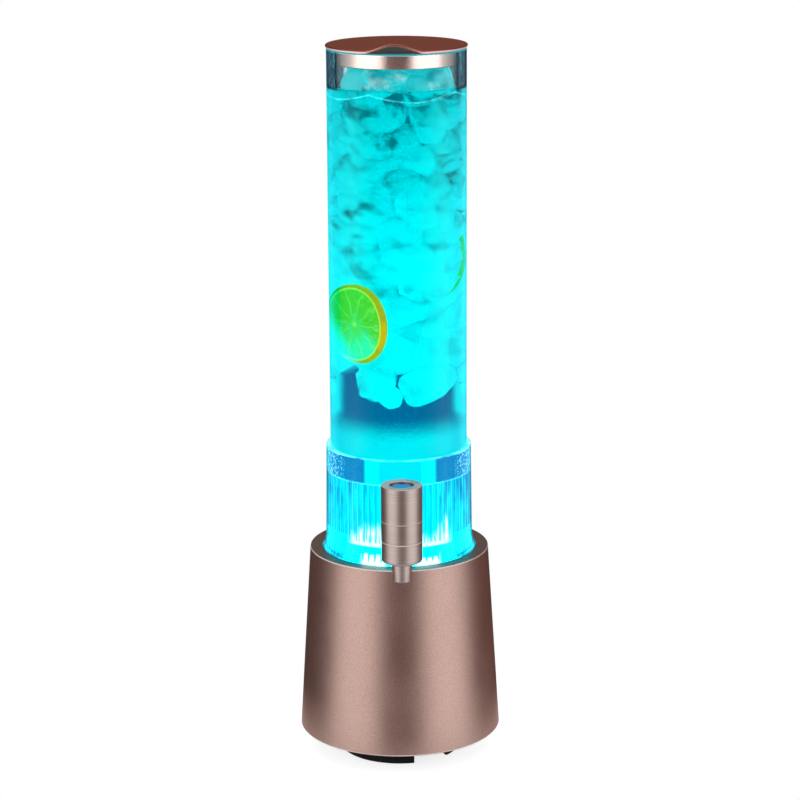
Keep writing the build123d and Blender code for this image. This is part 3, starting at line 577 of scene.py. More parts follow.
@dataclass(frozen=True)
class SleeveFinish(Finish):
    """The lit sleeve, its light and shade painted: cyan flutes, streaks of painted blue shade under its plain
    band, and white where the lamp strikes.

    Angles are measured from the front and folded, so that the back looks as the front does.
    """

    foot: float
    floor: float
    band: float
    top: float
    flutes: float = 72.0
    lit: Colour = (0.0, 0.66, 0.72)
    soft: Colour = (0.0, 0.53, 0.64)
    blue: Colour = (0.0, 0.14, 0.34)
    speck: Colour = (0.55, 0.85, 0.95)
    line: Colour = (0.30, 0.90, 0.95)
    rim_side: Colour = (0.0, 0.07, 0.11)
    strength: float = 0.45
    streak_reach: float = 0.044
    flame_height: float = 0.016
    bars: Span = (0.30, 0.50)
    flames: Span = (0.26, 0.66)
    teeth: Span = (0.24, 0.50)

    def looks(self, place: Wire) -> Looks:
        """Returns the sleeve's looks."""
        sheet = place.sheet
        x, y, height = place.split()
        angle = x.math("ARCTAN2", y * -1.0)
        folded = abs(angle).math("PINGPONG", math.pi / 2)
        flute = (angle + math.pi) * (self.flutes / TAU)
        own = sheet.wire("TexWhiteNoise", "Value", {"W": flute.math("FLOOR")}, noise_dimensions="1D")
        ridge = (flute * TAU).math("COSINE").ramp(0.2, 1.0)
        streaks = sheet.join(angle * 34.0, height * 45.0, 0.0).noise(1.0, 2.0)
        grain = place.noise(900.0, 2.0)
        colour = self._flutes(height, folded, own, ridge, streaks)
        over = height.ramp(self.band - 0.0002, self.band + 0.0002)
        colour = over.blend(colour, self._plain_band(place, folded, grain))
        # painted highlight: a bright line along the band's seam and, broken up, round the top rim
        seam = height.window(self.band - 0.0003, self.band + 0.0001, 0.0002) * 0.6
        broken = place.noise(160.0, 2.0).ramp(0.42, 0.6, (0.1, 0.5))
        colour = (seam | height.ramp(self.top - 0.0008, self.top - 0.0004) * broken).blend(colour, self.line)
        # painted shade: the sleeve goes dark where it is seen edge-on
        colour = sheet.facing().ramp(0.72, 0.92).blend(colour, self.rim_side)
        hot = self._hot_spots(height, folded, own, ridge, streaks)
        return {
            "Base Color": colour,
            "Emission Color": hot.blend(colour, WHITE),
            "Emission Strength": hot.ramp(0.0, 1.0, (self.strength, 1.0)),
            "Roughness": grain.ramp(0.3, 0.7, (0.02, 0.08)),
            "IOR": ACRYLIC_IOR,
            "Transmission Weight": 1.0,
            "Specular Tint": BLACK,
        }

    def _flutes(self, height: Wire, folded: Wire, own: Wire, ridge: Wire, streaks: Wire) -> Wire:
        """Returns the fluted wall's colour: painted shade in dark streaks that hang from the band and dark
        lines on the ridges, more of them round the sides.
        """
        hanging = (height - (self.band - own * self.streak_reach)).ramp(-0.012, 0.018)
        streak = streaks.ramp(0.44, 0.57) * folded.ramp(0.15, 0.95, (0.30, 0.98))
        streak = streak * hanging.ramp(0.0, 1.0, (0.55, 1.0))
        lines = ridge * folded.ramp(0.0, 1.2, (0.34, 0.78))
        return (streak | lines).blend(self.lit, self.blue)

    def _plain_band(self, place: Wire, folded: Wire, grain: Wire) -> Wire:
        """Returns the plain band's colour: pale bars and blue blocks beyond them, which are painted reflections
        of the lamps and of dark surroundings, and sparkle at the sides.
        """
        colour = folded.window(*self.bars, 0.01).blend(self.soft, self.lit)
        tone = grain.ramp(0.2, 0.8, (1.0, 0.75)) * folded.ramp(1.25, 1.40, (1.0, 0.3))
        colour = (folded.ramp(0.50, 0.53) * tone).blend(colour, self.blue)
        specks = folded.ramp(0.80, 1.0) * place.noise(620.0, 3.0).ramp(0.52, 0.58)
        return (specks * 0.7).blend(colour, self.speck)

    def _hot_spots(self, height: Wire, folded: Wire, own: Wire, ridge: Wire, streaks: Wire) -> Wire:
        """Returns where the lamp strikes white: thin flames over the tube's floor, and teeth at the foot."""
        flame = (self.floor + 0.003 + own * self.flame_height - height).ramp(-0.003, 0.005)
        flame = flame * height.ramp(self.floor - 0.0022, self.floor - 0.0008)
        flame = flame * streaks.ramp(0.56, 0.46, (0.08, 1.0))
        base_line = height.window(self.floor - 0.0012, self.floor + 0.0006, 0.0008) * 0.85
        flame = (flame | base_line) * folded.window(*self.flames, 0.14)
        spike = (1.0 - ridge) * own.ramp(0.0, 1.0, (0.002, 0.006))
        tooth = (spike + (self.foot + 0.003) - height).ramp(-0.0008, 0.0008) * folded.window(*self.teeth, 0.08)
        return flame | tooth


@dataclass(frozen=True)
class IceFinish(Finish):
    """Wet ice lit from below, its light and shade painted in its glow: cyan, with teal patches, wisps and folds
    of painted shade that deepen towards the level.
    """

    level: float
    foot: float
    bright: Colour = (0.0, 0.91, 0.96)
    shade: Colour = (0.0, 0.17, 0.21)
    frost: Colour = (0.30, 0.74, 0.74)
    airy: Colour = (0.008, 0.62, 0.66)
    murky: Colour = (0.0, 0.22, 0.40)
    base_share: float = 0.3

    def looks(self, place: Wire) -> Looks:
        """Returns the ice's looks."""
        height = place.split()[2]
        tone, relief = fine_grain(place, 520.0)
        dark = self._darkness(place, height)
        colour = (dark + (tone - 0.5) * (dark * 0.4)).blend(self.bright, self.shade)
        # whitish patches on the ice above the level
        airy = place.noise(60.0, 4.0, 0.6).ramp(0.52, 0.66).blend(self.airy, self.frost)
        airy = (dark * 0.7).blend(airy, self.shade)
        colour = height.ramp(self.level - 0.001, self.level + 0.003).blend(colour, airy)
        # painted shade: low down, lumps go deep blue where they turn edge-on
        turned_away = (place.sheet.facing() + (tone - 0.5) * 0.35).ramp(0.58, 0.98)
        colour = (turned_away * height.ramp(self.foot + 0.045, self.foot + 0.02)).blend(colour, self.murky)
        return {
            "Emission Color": colour,
            "Emission Strength": 1.0,
            "Base Color": place.sheet.blend(1.0 - self.base_share, colour, BLACK),
            "Normal": relief.bump(0.25, 0.0003),
            "Roughness": 0.22,
            "Specular IOR Level": height.ramp(self.level, self.level + 0.004, (0.0, 0.35)),
        }

    def _darkness(self, place: Wire, height: Wire) -> Wire:
        """Returns how dark the ice's glow is: painted shade in patches, wisps, folds between lumps, on faces
        that look up and towards the level, and a tone that differs from lump to lump.
        """
        crease = place.sheet.wire("Attribute", "Fac", attribute_name="crease")
        lump = place.sheet.wire("Attribute", "Fac", attribute_name="lump")
        flat = place.vector("MULTIPLY", {1: (1.0, 1.0, 1.7)})
        cloud = broad_cloud(flat, 34.0, 0.045)
        patches = flat.noise(50.0, 2.0, 0.45, 0.4).ramp(0.48, 0.80)
        wisps = abs(flat.noise(30.0, 2.0, 0.5, 1.2) - 0.5).ramp(0.05, 0.0)
        # painted shade: patches, wisps, folds where lumps meet, faces that look up, and a dimming towards the
        # level
        total = (
            patches * cloud.ramp(0.1, 0.6) * 0.95
            + wisps * 0.08
            + crease ** 1.5 * cloud.ramp(0.2, 0.8, (0.05, 0.36))
            + lump * 0.12
            + place.sheet.upward().ramp(-0.5, 0.9) * 0.12
            + height.ramp(self.foot + 0.09, self.level, (0.0, 0.30))
        )
        depth = height.ramp(self.foot + 0.025, self.level - 0.04, (0.24, 1.0))
        return total * depth + cloud.ramp(0.35, 0.9, (0.0, 0.07))


@dataclass(frozen=True)
class DrinkHeartFinish(Finish):
    """The drink's lit middle, which carries painted light and shade: bright over the lamp, a painted shade of
    deep blue with bubbles under the ice, and painted cyan light at the sides.
    """

    lit_top: float
    lit: Colour = (0.0, 0.86, 0.95)
    dim: Colour = (0.0, 0.70, 0.84)
    deep: Colour = (0.0, 0.13, 0.31)
    bubble: Colour = (0.0, 0.42, 0.62)
    side: Colour = (0.0, 0.78, 0.90)
    high_side: Colour = (0.0, 0.92, 0.97)
    body: Colour = (0.0, 0.02, 0.03)

    def looks(self, place: Wire) -> Looks:
        """Returns the heart's looks."""
        height = place.split()[2]
        grain = fine_grain(place, 1500.0)[0]
        rising = (height + (grain - 0.5) * 0.012).ramp(self.lit_top - 0.004, self.lit_top + 0.006)
        lit = (broad_cloud(place, 26.0, 0.03).ramp(0.4, 1.0) * 0.45).blend(self.lit, self.dim)
        bubbles = grain.ramp(0.74, 0.9) * height.ramp(self.lit_top + 0.03, self.lit_top, (0.15, 0.6))
        # painted shade: deep blue above the lit layer, with bubbles
        colour = rising.blend(lit, bubbles.blend(self.deep, self.bubble))
        # painted light: cyan where the heart is seen edge-on
        ragged = place.sheet.facing() + (grain - 0.5) * 0.16
        side = height.ramp(self.lit_top - 0.004, self.lit_top + 0.008).blend(self.side, self.high_side)
        return {
            "Emission Color": ragged.ramp(0.46, 0.78).blend(colour, side),
            "Emission Strength": 1.0,
            "Base Color": self.body,
            "Roughness": 0.6,
            "Specular IOR Level": 0.0,
        }


@dataclass(frozen=True)
class LimeFinish(Finish):
    """A cut lime: green flesh in segments with pale skins, a pale pith ring and a green peel, with painted cyan
    light on its lower flesh and washed over one side, and a glow of its own colour.
    """

    segments: float = 10.0
    flesh: Colour = (0.10, 0.46, 0.01)
    wet_flesh: Colour = (0.0, 0.74, 0.34)
    skin: Colour = (0.52, 0.82, 0.10)
    pith: Colour = (0.66, 0.72, 0.05)
    peel: Colour = (0.06, 0.26, 0.02)
    warm_peel: Colour = (0.62, 0.36, 0.0)
    washed: Colour = (0.0, 0.88, 0.84)
    warmth: float = 1.0
    wash: float = 0.85
    wash_way: Point = (0.75, 0.66, 0.0)
    wash_span: Span = (-0.35, -1.0)
    wash_folds: bool = False
    strength: float = 0.85

    def looks(self, place: Wire) -> Looks:
        """Returns the cut lime's looks. The disc attribute holds the place on the slice, 1 at its edge."""
        sheet = place.sheet
        disc = sheet.wire("Attribute", "Vector", attribute_name="disc")
        x, y, _ = disc.split()
        radius = reach(x, y)
        angle = y.math("ARCTAN2", x)
        wobble = (disc.noise(3.0, 2.0) - 0.5) * 0.5
        wall = ((angle + wobble) * self.segments).math("COSINE").ramp(0.86, 0.98)
        streaks = sheet.join(angle * 9.0, radius * 2.0, 0.0).noise(3.0)
        # painted light: the lower flesh turns cyan
        low = (y + (broad_cloud(place, 60.0, 0.02) - 0.5) * 0.5).ramp(0.25, -0.75)
        flesh = (streaks.ramp(0.45, 0.75) * 0.4).blend(low.blend(self.flesh, self.wet_flesh), self.skin)
        cut = (wall * 0.30 | radius.ramp(0.10, 0.02)).blend(flesh, self.skin)
        cut = radius.ramp(0.865, 0.885).blend(cut, self.pith)
        warmth = place.noise(90.0, 2.0).ramp(0.35, 0.55, (0.6, 1.0)) * self.warmth
        colour = radius.ramp(0.900, 0.925).blend(cut, warmth.blend(self.peel, self.warm_peel))
        # painted light: a cyan wash over one side of the slice
        aside = sheet.join(x, y, 1.0).vector("DOT_PRODUCT", {1: self.wash_way}, "Value")
        aside = abs(aside) if self.wash_folds else aside
        colour = (aside.ramp(*self.wash_span) * self.wash).blend(colour, self.washed)
        # painted light: the slice glows in its own colour
        return {
            "Base Color": colour,
            "Emission Color": colour,
            "Emission Strength": self.strength,
            "Normal": streaks.bump(0.3, 0.0004),
            "Roughness": 0.35,
            "Specular IOR Level": 0.2,
        }


@dataclass(frozen=True)
class LampChipFinish(Finish):
    """Light chips: a white frame round a square of phosphor, which is lit."""

    rim: Colour = (0.85, 0.85, 0.82)
    phosphor: Colour = (0.75, 0.72, 0.18)
    light: Colour = (0.25, 0.95, 1.0)
    strength: float = 3.0

    def looks(self, place: Wire) -> Looks:
        """Returns the chips' looks."""
        upward = place.sheet.upward().ramp(0.7, 0.95)
        speckled = (fine_grain(place, 2500.0)[0] * 0.5).blend(self.phosphor, self.rim)
        return {
            "Base Color": upward.blend(self.rim, speckled),
            "Emission Color": upward.blend(BLACK, self.light),
            "Emission Strength": self.strength,
            "Roughness": 0.4,
        }


@dataclass(frozen=True)
class CellFinish(Finish):
    """Dry cells: a satin jacket with one bright band, and bare steel at both ends."""

    jacket: Colour = (0.03, 0.035, 0.045)
    band: Colour = (0.55, 0.28, 0.07)
    steel: Colour = (0.62, 0.61, 0.6)
    band_level: float = -0.017
    band_half: float = 0.006
    ends: Span = (-0.0232, 0.0242)

    def looks(self, place: Wire) -> Looks:
        """Returns the cells' looks."""
        along = place.split()[1]
        band = soft_band(along, self.band_level, self.band_half).ramp(0.05, 0.15)
        back, front = self.ends
        bare = along.ramp(back + 0.0002, back - 0.0002) + along.ramp(front - 0.0002, front + 0.0002)
        return {"Base Color": bare.blend(band.blend(self.jacket, self.band), self.steel), "Metallic": bare,
                "Roughness": broad_cloud(place, 90.0, 0.01).ramp(0.0, 1.0, (0.28, 0.4))}


@dataclass(frozen=True)
class BoardFinish(Finish):
    """Light board: white mask over the laminate, with the raised lines of the copper under it."""

    mask: Colour = (0.78, 0.79, 0.76)
    line: Colour = (0.70, 0.71, 0.67)
    edge: Colour = (0.42, 0.36, 0.16)
    pitch: float = 0.004

    def looks(self, place: Wire) -> Looks:
        """Returns the board's looks."""
        x, y, _ = place.split()
        copper = ((x + y * 0.25) * (TAU / self.pitch)).math("SINE").ramp(0.2, 0.5)
        level = abs(place.sheet.upward()).ramp(0.5, 0.9)
        return {"Base Color": level.blend(self.edge, copper.blend(self.mask, self.line)),
                "Roughness": fine_grain(place, 1600.0)[0].ramp(0.0, 1.0, (0.3, 0.42)),
                "Normal": copper.bump(0.5, 0.00005)}


@dataclass(frozen=True)
class LeadFinish(Finish):
    """The two leads: the lamp's red one runs high or off the middle, the switch's black one low and central."""

    red: Colour = (0.45, 0.012, 0.01)
    black: Colour = (0.015, 0.015, 0.017)
    high: float = 0.052
    aside: float = 0.003

    def looks(self, place: Wire) -> Looks:
        """Returns the leads' looks."""
        x, _, z = place.split()
        lamp_lead = x.math("GREATER_THAN", self.aside) | z.math("GREATER_THAN", self.high)
        return {"Base Color": lamp_lead.blend(self.black, self.red),
                "Roughness": fine_grain(place, 900.0)[0].ramp(0.0, 1.0, (0.35, 0.5))}


class Finishes:
    """Every finish of the tower, made once and found by its slot's name."""

    def __init__(self, marks: Landmarks) -> None:
        """Makes the materials, with their heights taken from the landmarks."""
        recipes = (
            # the housing, tap and lid take painted highlight rings on their edges and seams
            MetalFinish("bronze_housing", worn_heights=(marks.rim - 0.55 * MM, marks.base_foot + 0.8 * MM),
                        worn_width=0.00055, roughness=0.42, cells=1100.0, worn=(0.98, 0.90, 0.86),
                        grazing=(0.85, 0.72, 0.68)),
            MetalFinish("bronze_tap", deep=(0.255, 0.20, 0.185), bright=(0.36, 0.295, 0.28), roughness=0.44,
                        grain=Grain.TURNED, cells=2200.0, relief=0.00001, worn_width=0.0006,
                        worn_heights=(marks.tap_top - 0.1 * MM, *marks.tap_seams), worn=(0.80, 0.72, 0.68)),
            MetalFinish("bronze_lid", deep=(0.28, 0.10, 0.075), bright=(0.44, 0.18, 0.14), cells=1300.0,
                        worn_heights=(marks.tube_top + 1.15 * MM,), worn=(1.0, 0.80, 0.75), worn_width=0.0011,
                        worn_rough=0.35, grazing=(0.74, 0.34, 0.27), lit_below=(0.05, 0.085, 0.09)),
            MetalFinish("bronze_plug", deep=(0.62, 0.45, 0.41), bright=(0.82, 0.62, 0.57), roughness=0.32,
                        cells=1500.0, relief=0.00002),
            MetalFinish("steel", deep=(0.5, 0.5, 0.5), bright=(0.62, 0.61, 0.6), roughness=0.3,
                        grain=Grain.TURNED, cells=1800.0, relief=0.00001),
            TubeFinish("clear_tube", level=marks.drink_level, rim=marks.tube_top),
            SleeveFinish("clear_sleeve", foot=marks.rim - 1.0 * MM, floor=marks.floor - 1.5 * MM,
                         band=marks.flute_top, top=marks.sleeve_top),
            ClearFinish("clear_lens", tint=(0.9, 1.0, 1.0), roughness=(0.2, 0.4), glow=(0.25, 0.95, 1.0),
                        glow_strength=1.2),
            ClearFinish("lit_floor", tint=(0.0, 0.9, 1.0), roughness=(0.1, 0.3), glow=(0.0, 0.80, 0.92),
                        glow_strength=0.6),
            ClearFinish("drink", tint=(0.93, 1.0, 1.0), ior=1.33, roughness=(0.0, 0.0),
                        taken=(0.0, 0.985, 0.995), density=85.0),
            # painted light: the button glows deep blue
            MouldedFinish("glossy_button", deep=(0.0, 0.05, 0.18), bright=(0.0, 0.09, 0.30), roughness=0.2,
                          cells=600.0, relief=0.00001, coat=0.4, glow=(0.002, 0.07, 0.24)),
            MouldedFinish("underside_plastic"),
            MouldedFinish("black_rubber", deep=(0.003, 0.003, 0.003), bright=(0.006, 0.006, 0.006),
                          dusty=(0.02, 0.02, 0.02), roughness=0.75, cells=900.0, relief=0.0001, gloss=0.15),
            MouldedFinish("white_plastic", deep=(0.74, 0.74, 0.72), bright=(0.8, 0.8, 0.78),
                          dusty=(0.6, 0.6, 0.58), roughness=0.35),
            MouldedFinish("silicone", deep=(0.55, 0.58, 0.58), bright=(0.66, 0.69, 0.69), dusty=(0.5, 0.5, 0.5),
                          roughness=0.45, sheen=0.15),
            MouldedFinish("lit_silicone", deep=(0.02, 0.30, 0.38), bright=(0.04, 0.42, 0.50),
                          dusty=(0.1, 0.5, 0.6), roughness=0.45, sheen=0.15),
            BoardFinish("board_laminate"),
            LampChipFinish("light_chip"),
            CellFinish("cell_jacket"),
            LeadFinish("lead_insulation"),
            IceFinish("ice", level=marks.drink_level, foot=marks.ice_foot),
            DrinkHeartFinish("drink_heart", lit_top=marks.lit_top),
            LimeFinish("lime"),
            LimeFinish("shaded_lime", flesh=(0.0, 0.84, 0.80), wet_flesh=(0.0, 0.90, 0.90),
                       skin=(0.02, 0.86, 0.80), peel=(0.0, 0.46, 0.08), pith=(0.0, 0.60, 0.25), warmth=0.0,
                       wash=0.93, wash_way=(1.0, 0.0, -0.15), wash_span=(0.52, 0.12), wash_folds=True),
        )
        self.by_name = {recipe.name: recipe.make() for recipe in recipes}


# ---------------------------------------------------------------- meshes


def grid_faces(rows: int, columns: int) -> list:
    """Returns the quads of a grid of points, ring by ring, that closes on itself along its columns."""
    row, column = np.meshgrid(np.arange(rows - 1) * columns, np.arange(columns), indexing="ij")
    after = (column + 1) % columns
    corners = (row + column, row + after, row + columns + after, row + columns + column)
    return np.stack(corners, axis=-1).reshape(-1, 4).tolist()


def fan_faces(first: int, columns: int, pole: int, flip: bool) -> list:
    """Returns the triangles from a ring of points to one pole point, turned over when flip is set."""
    column = np.arange(columns)
    pair = (first + (column + 1) % columns, first + column)
    return np.stack((*(pair[::-1] if flip else pair), np.full(columns, pole)), axis=-1).tolist()


def closed_rings(rings: np.ndarray, start: Point, end: Point) -> tuple[np.ndarray, list]:
    """Joins rings of points, whose order turns left as seen from the end pole, into a closed surface.

    Args:
        rings: points, shaped rows by columns by 3.
        start: the pole before the first ring.
        end: the pole after the last ring.

    Returns:
        All points, and the faces, which look outwards.
    """
    rows, columns = rings.shape[:2]
    count = rows * columns
    faces = (grid_faces(rows, columns) + fan_faces(0, columns, count, False)
             + fan_faces(count - columns, columns, count + 1, True))
    return np.concatenate((rings.reshape(-1, 3), (start, end))), faces


def round_axis(radius: np.ndarray, angle: np.ndarray, height: np.ndarray) -> np.ndarray:
    """Returns the points (r cos a, r sin a, z)."""
    return np.stack((radius * np.cos(angle), radius * np.sin(angle), height), axis=-1)


def turned(radius: np.ndarray, height: np.ndarray, columns: int) -> np.ndarray:
    """Returns the rings of a profile, given point by point, carried round the Z axis."""
    angle = np.linspace(0.0, TAU, columns, endpoint=False)
    return round_axis(radius[:, None], angle, height[:, None] + 0.0 * angle)


def add_object(name: str, data: bpy.types.ID) -> bpy.types.Object:
    """Puts a new object with this data into the scene."""
    thing = bpy.data.objects.new(name, data)
    bpy.context.scene.collection.objects.link(thing)
    return thing


def add_mesh(name: str, points: np.ndarray, faces: list, material: bpy.types.Material) -> bpy.types.Object:
    """Puts a new mesh, in place and of one material, into the scene."""
    mesh = bpy.data.meshes.new(name)
    mesh.from_pydata(points.tolist(), [], faces)
    mesh.materials.append(material)
    return add_object(name, mesh)


def add_piece(name: str, surface: tuple[np.ndarray, list], finish: bpy.types.Material, body: str = "tower",
              slot: str = "clear_tube", **values: np.ndarray) -> bpy.types.Object:
    """Makes one smooth piece in place and lets it ride a body.

    Args:
        name: the piece's name.
        surface: its points, in the frame, and the corner numbers of its faces.
        finish: its material.
        body: the CAD body that carries it, or nothing where the caller says what it follows.
        slot: not used.
        values: point attributes, one number or one vector to a point.

    Returns:
        The new object.
    """
    piece = add_mesh(name, *surface, finish)
    mesh = piece.data
    for label, numbers in values.items():
        kind, field = ("FLOAT", "value") if numbers.ndim == 1 else ("FLOAT_VECTOR", "vector")
        store = mesh.attributes.new(label, kind, "POINT")
        store.data.foreach_set(field, np.ascontiguousarray(numbers, dtype=np.float32).ravel())
    mesh.polygons.foreach_set("use_smooth", np.ones(len(mesh.polygons), dtype=bool))
    mesh.update()
    if body:
        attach(piece, body)
    log.info("%s: %d points, %d faces", name, *map(len, surface))
    return piece


# ---------------------------------------------------------------- sub-assemblies


@dataclass
class Assembly:
    """A part of the tower, with the finishes that it is dressed in."""

    finishes: Finishes
    looks: ClassVar[dict[str, tuple[str, ...]]] = {}

    def dress(self) -> None:
        """Gives each CAD node the finish that its name stands under."""
        for finish, nodes in self.looks.items():
            for node in nodes:
                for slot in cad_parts[node].material_slots:
                    slot.material = self.finishes.by_name[finish]
        log.info("%s: dressed in %s", type(self).__name__, ", ".join(self.looks))


class BaseHousing(Assembly):
    """The bronze cone with what stands, seals and lights in it."""

    looks = {
        "bronze_housing": ("base_shell",),
        "underside_plastic": ("base_plate", "battery_box", "battery_door"),
        "steel": ("plate_screws", "reflector_screws", "battery_contacts"),
        "black_rubber": ("foot_ring",),
        "silicone": ("seat_gasket",),
        "clear_lens": ("lamp_lens",),
        "white_plastic": ("reflector_cup", "switch_body", "power_button"),
        "board_laminate": ("light_board",),
        "light_chip": ("light_chips",),
        "cell_jacket": ("batteries",),
        "lead_insulation": ("wiring",),
    }


class TubeAndLid(Assembly):
    """The clear tube, its floor and light sleeve, and the lid with its plug and seal."""

    looks = {
        "clear_tube": ("tube",),
        "lit_floor": ("tube_floor",),
        "clear_sleeve": ("light_sleeve",),
        "bronze_lid": ("lid_cover",),
        "bronze_plug": ("lid_plug",),
        "lit_silicone": ("lid_seal",),
    }


@dataclass
class PressTap(Assembly):
    """The bronze press tap, its valve and its seals, and the return spring."""

    wire_width: float = 1.0 * MM
    wire_height: float = 0.7 * MM
    turns: float = 5.0
    steps: int = 240
    looks = {
        "bronze_tap": ("tap_body", "tap_barrel", "tap_nozzle"),
        "glossy_button": ("tap_button",),
        "steel": ("tap_spindle", "return_spring", "tap_nut"),
        "silicone": ("valve_seat", "valve_poppet", "spindle_ring", "outer_washer", "inner_washer"),
    }

    def wind(self) -> None:
        """Winds the spring: its middle is (r cos a, r sin a) round the tap's axis, and rises evenly with a.

        The wire's section is a flat rectangle with its four corners taken off.
        """
        low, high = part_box("return_spring")
        axis_x, axis_y = (low.x + high.x) / 2.0, (low.y + high.y) / 2.0
        angle = np.linspace(0.0, TAU * self.turns, self.steps)[:, None]
        half = self.wire_height / 2.0
        height = np.linspace(low.z + half, high.z - half, self.steps)[:, None]
        out = np.array((-0.5, -0.5, -0.36, 0.36, 0.5, 0.5, 0.36, -0.36)) * self.wire_width
        up = np.array((-0.32, 0.32, 0.5, 0.5, 0.32, -0.32, -0.5, -0.5)) * self.wire_height
        radius = (high.x - low.x - self.wire_width) / 2.0 + out
        rings = round_axis(radius, angle, height + up) + np.array((axis_x, axis_y, 0.0))
        surface = closed_rings(rings, rings[0].mean(axis=0), rings[-1].mean(axis=0))
        spring = add_piece("return_spring_coil", surface, self.finishes.by_name["steel"], "", "steel")
        low.z + self.wire_height
        high.z - self.wire_height
        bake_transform(spring)
        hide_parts("return_spring")


@dataclass
class Drink:
    """The drink that fills the tube to its level, with its lit heart."""

    finishes: Finishes
    marks: Landmarks
    bore: float = 40.2 * MM
    wetting: float = 0.15 * MM
    meniscus: float = 1.6 * MM
    heart_low: float = 38.6 * MM
    heart_high: float = 30.0 * MM
    easing: float = 12.0 * MM
    columns: int = 128
    heart_rows: int = 70
    heart_columns: int = 96

    def pour(self) -> None:
        """Fills the tube: the profile rises along the wall and curls over in a quarter arc to the level."""
        floor, level = self.marks.floor - self.wetting, self.marks.drink_level
        wall = self.bore + self.wetting
        heights = np.linspace(floor, level + self.meniscus, 12)[1:]
        curl = np.sin(np.linspace(0.0, math.pi / 2, 7))
        radius = np.concatenate((wall * np.array((0.33, 0.66, 1.0)), np.full(len(heights), wall),
                                 self.bore - self.meniscus * curl, wall * np.array((0.7, 0.35))))
        height = np.concatenate((np.full(3, floor), heights, level + 0.98 * self.meniscus * (1.0 - curl),
                                 (level, level)))
        surface = closed_rings(turned(radius, height, self.columns), (0.0, 0.0, floor), (0.0, 0.0, level))
        add_piece("drink", surface, self.finishes.by_name["drink"])

    def light(self) -> None:
        """Makes the lit heart: a column that nearly fills the tube in the lit layer, and is thinner above.

        Its radius eases from the low to the high value over 12 mm, swells by (1 + 0.02 sin 2a sin kz) above,
        and is rounded off as a quarter ellipse at the top, inside the foot of the ice.
        """
        floor, top = self.marks.floor + 1.0 * MM, self.marks.ice_foot + 30.0 * MM
        heights = np.linspace(floor, top, self.heart_rows)
        ease = np.clip((heights - self.marks.lit_top + 4.0 * MM) / self.easing, 0.0, 1.0)
        ease = ease * ease * (3.0 - 2.0 * ease)
        rounding = np.sqrt(np.clip((top - heights) / self.easing, 0.0, 1.0))
        radius = (self.heart_low + (self.heart_high - self.heart_low) * ease) * (0.2 + 0.8 * rounding)
        rings = turned(radius, heights, self.heart_columns)
        angle = np.arctan2(rings[..., 1], rings[..., 0])
        swell = 1.0 + 0.02 * ease[:, None] * np.sin(2.0 * angle) * np.sin(rings[..., 2] * TAU / 0.09)
        rings[..., :2] *= swell[..., None]
        surface = closed_rings(rings, (0.0, 0.0, floor), (0.0, 0.0, top))
        add_piece("drink_heart", surface, self.finishes.by_name["drink_heart"])


@dataclass
class LimeSlice:
    """One round slice of lime, pressed up against the ice."""

    finishes: Finishes
    name: str
    centre: Point
    facing: float
    radius: float = 26.5 * MM
    thickness: float = 5.0 * MM
    bare: Span = (-180.0, 180.0)
    bare_from: float = 0.0
    finish: str = "lime"
    columns: int = 96
    segments: float = 10.0

    @property
    def turn(self) -> np.ndarray:
        """The slice's turn: its own z axis faces out of the tube, its y axis up."""
        return np.array(Matrix.Rotation(self.facing, 3, "Z") @ Matrix.Rotation(math.pi / 2, 3, "X"))

    def press_back(self, points: np.ndarray) -> np.ndarray:
        """Presses points of the ice back along the slice's axis, so that its front's bared sector shows."""
        local = (points - np.array(self.centre)) @ self.turn
        out = np.linalg.norm(local[..., :2], axis=-1) / self.radius
        angle = np.degrees(np.arctan2(local[..., 1], local[..., 0]))
        in_front = (out < 1.22) & (out > self.bare_from) & (angle > self.bare[0]) & (angle < self.bare[1])
        depth = local[..., 2]
        behind = -0.5 * self.thickness - 0.6 * MM
        local[..., 2] = np.where(in_front & (depth > behind), behind - 0.04 * (depth - behind), depth)
        return local @ self.turn.T + np.array(self.centre)

    def cut(self) -> None:
        """Makes the slice: flesh sunk a little between 10 walls, a rounded rim, both faces alike.

        On a face the half thickness is t (0.465 + 0.035 cos 10a) inside the pith and 0.465 t on it; round
        the rim it follows a half circle flattened to the thickness.
        """
        half = self.thickness / 2.0
        inner = np.linspace(0.06, 0.9, 14)
        turn = np.linspace(0.0, math.pi, 9)
        share = np.concatenate((inner, 0.93 + 0.07 * np.sin(turn), inner[::-1]))
        side = np.repeat((-1.0, 0.0, 1.0), (len(inner), len(turn), len(inner)))
        side[len(inner):-len(inner)] = -np.cos(turn)
        disc = turned(share, side, self.columns)
        angle = np.linspace(0.0, TAU, self.columns, endpoint=False)
        ripple = np.cos(self.segments * angle) * np.where(share < 0.82, 1.0, 0.0)[:, None]
        radius = self.radius * (1.0 + 0.012 * np.sin(2.0 * angle + 0.6)) * share[:, None]
        local = round_axis(radius, angle, side[:, None] * half * (0.93 + 0.07 * ripple))
        points, faces = closed_rings(local, (0.0, 0.0, -half * 0.93), (0.0, 0.0, half * 0.93))
        flat_disc = np.concatenate((disc.reshape(-1, 3), ((0.0, 0.0, -1.0), (0.0, 0.0, 1.0))))
        surface = points @ self.turn.T + np.array(self.centre), faces
        add_piece(self.name, surface, self.finishes.by_name[self.finish], disc=flat_disc)


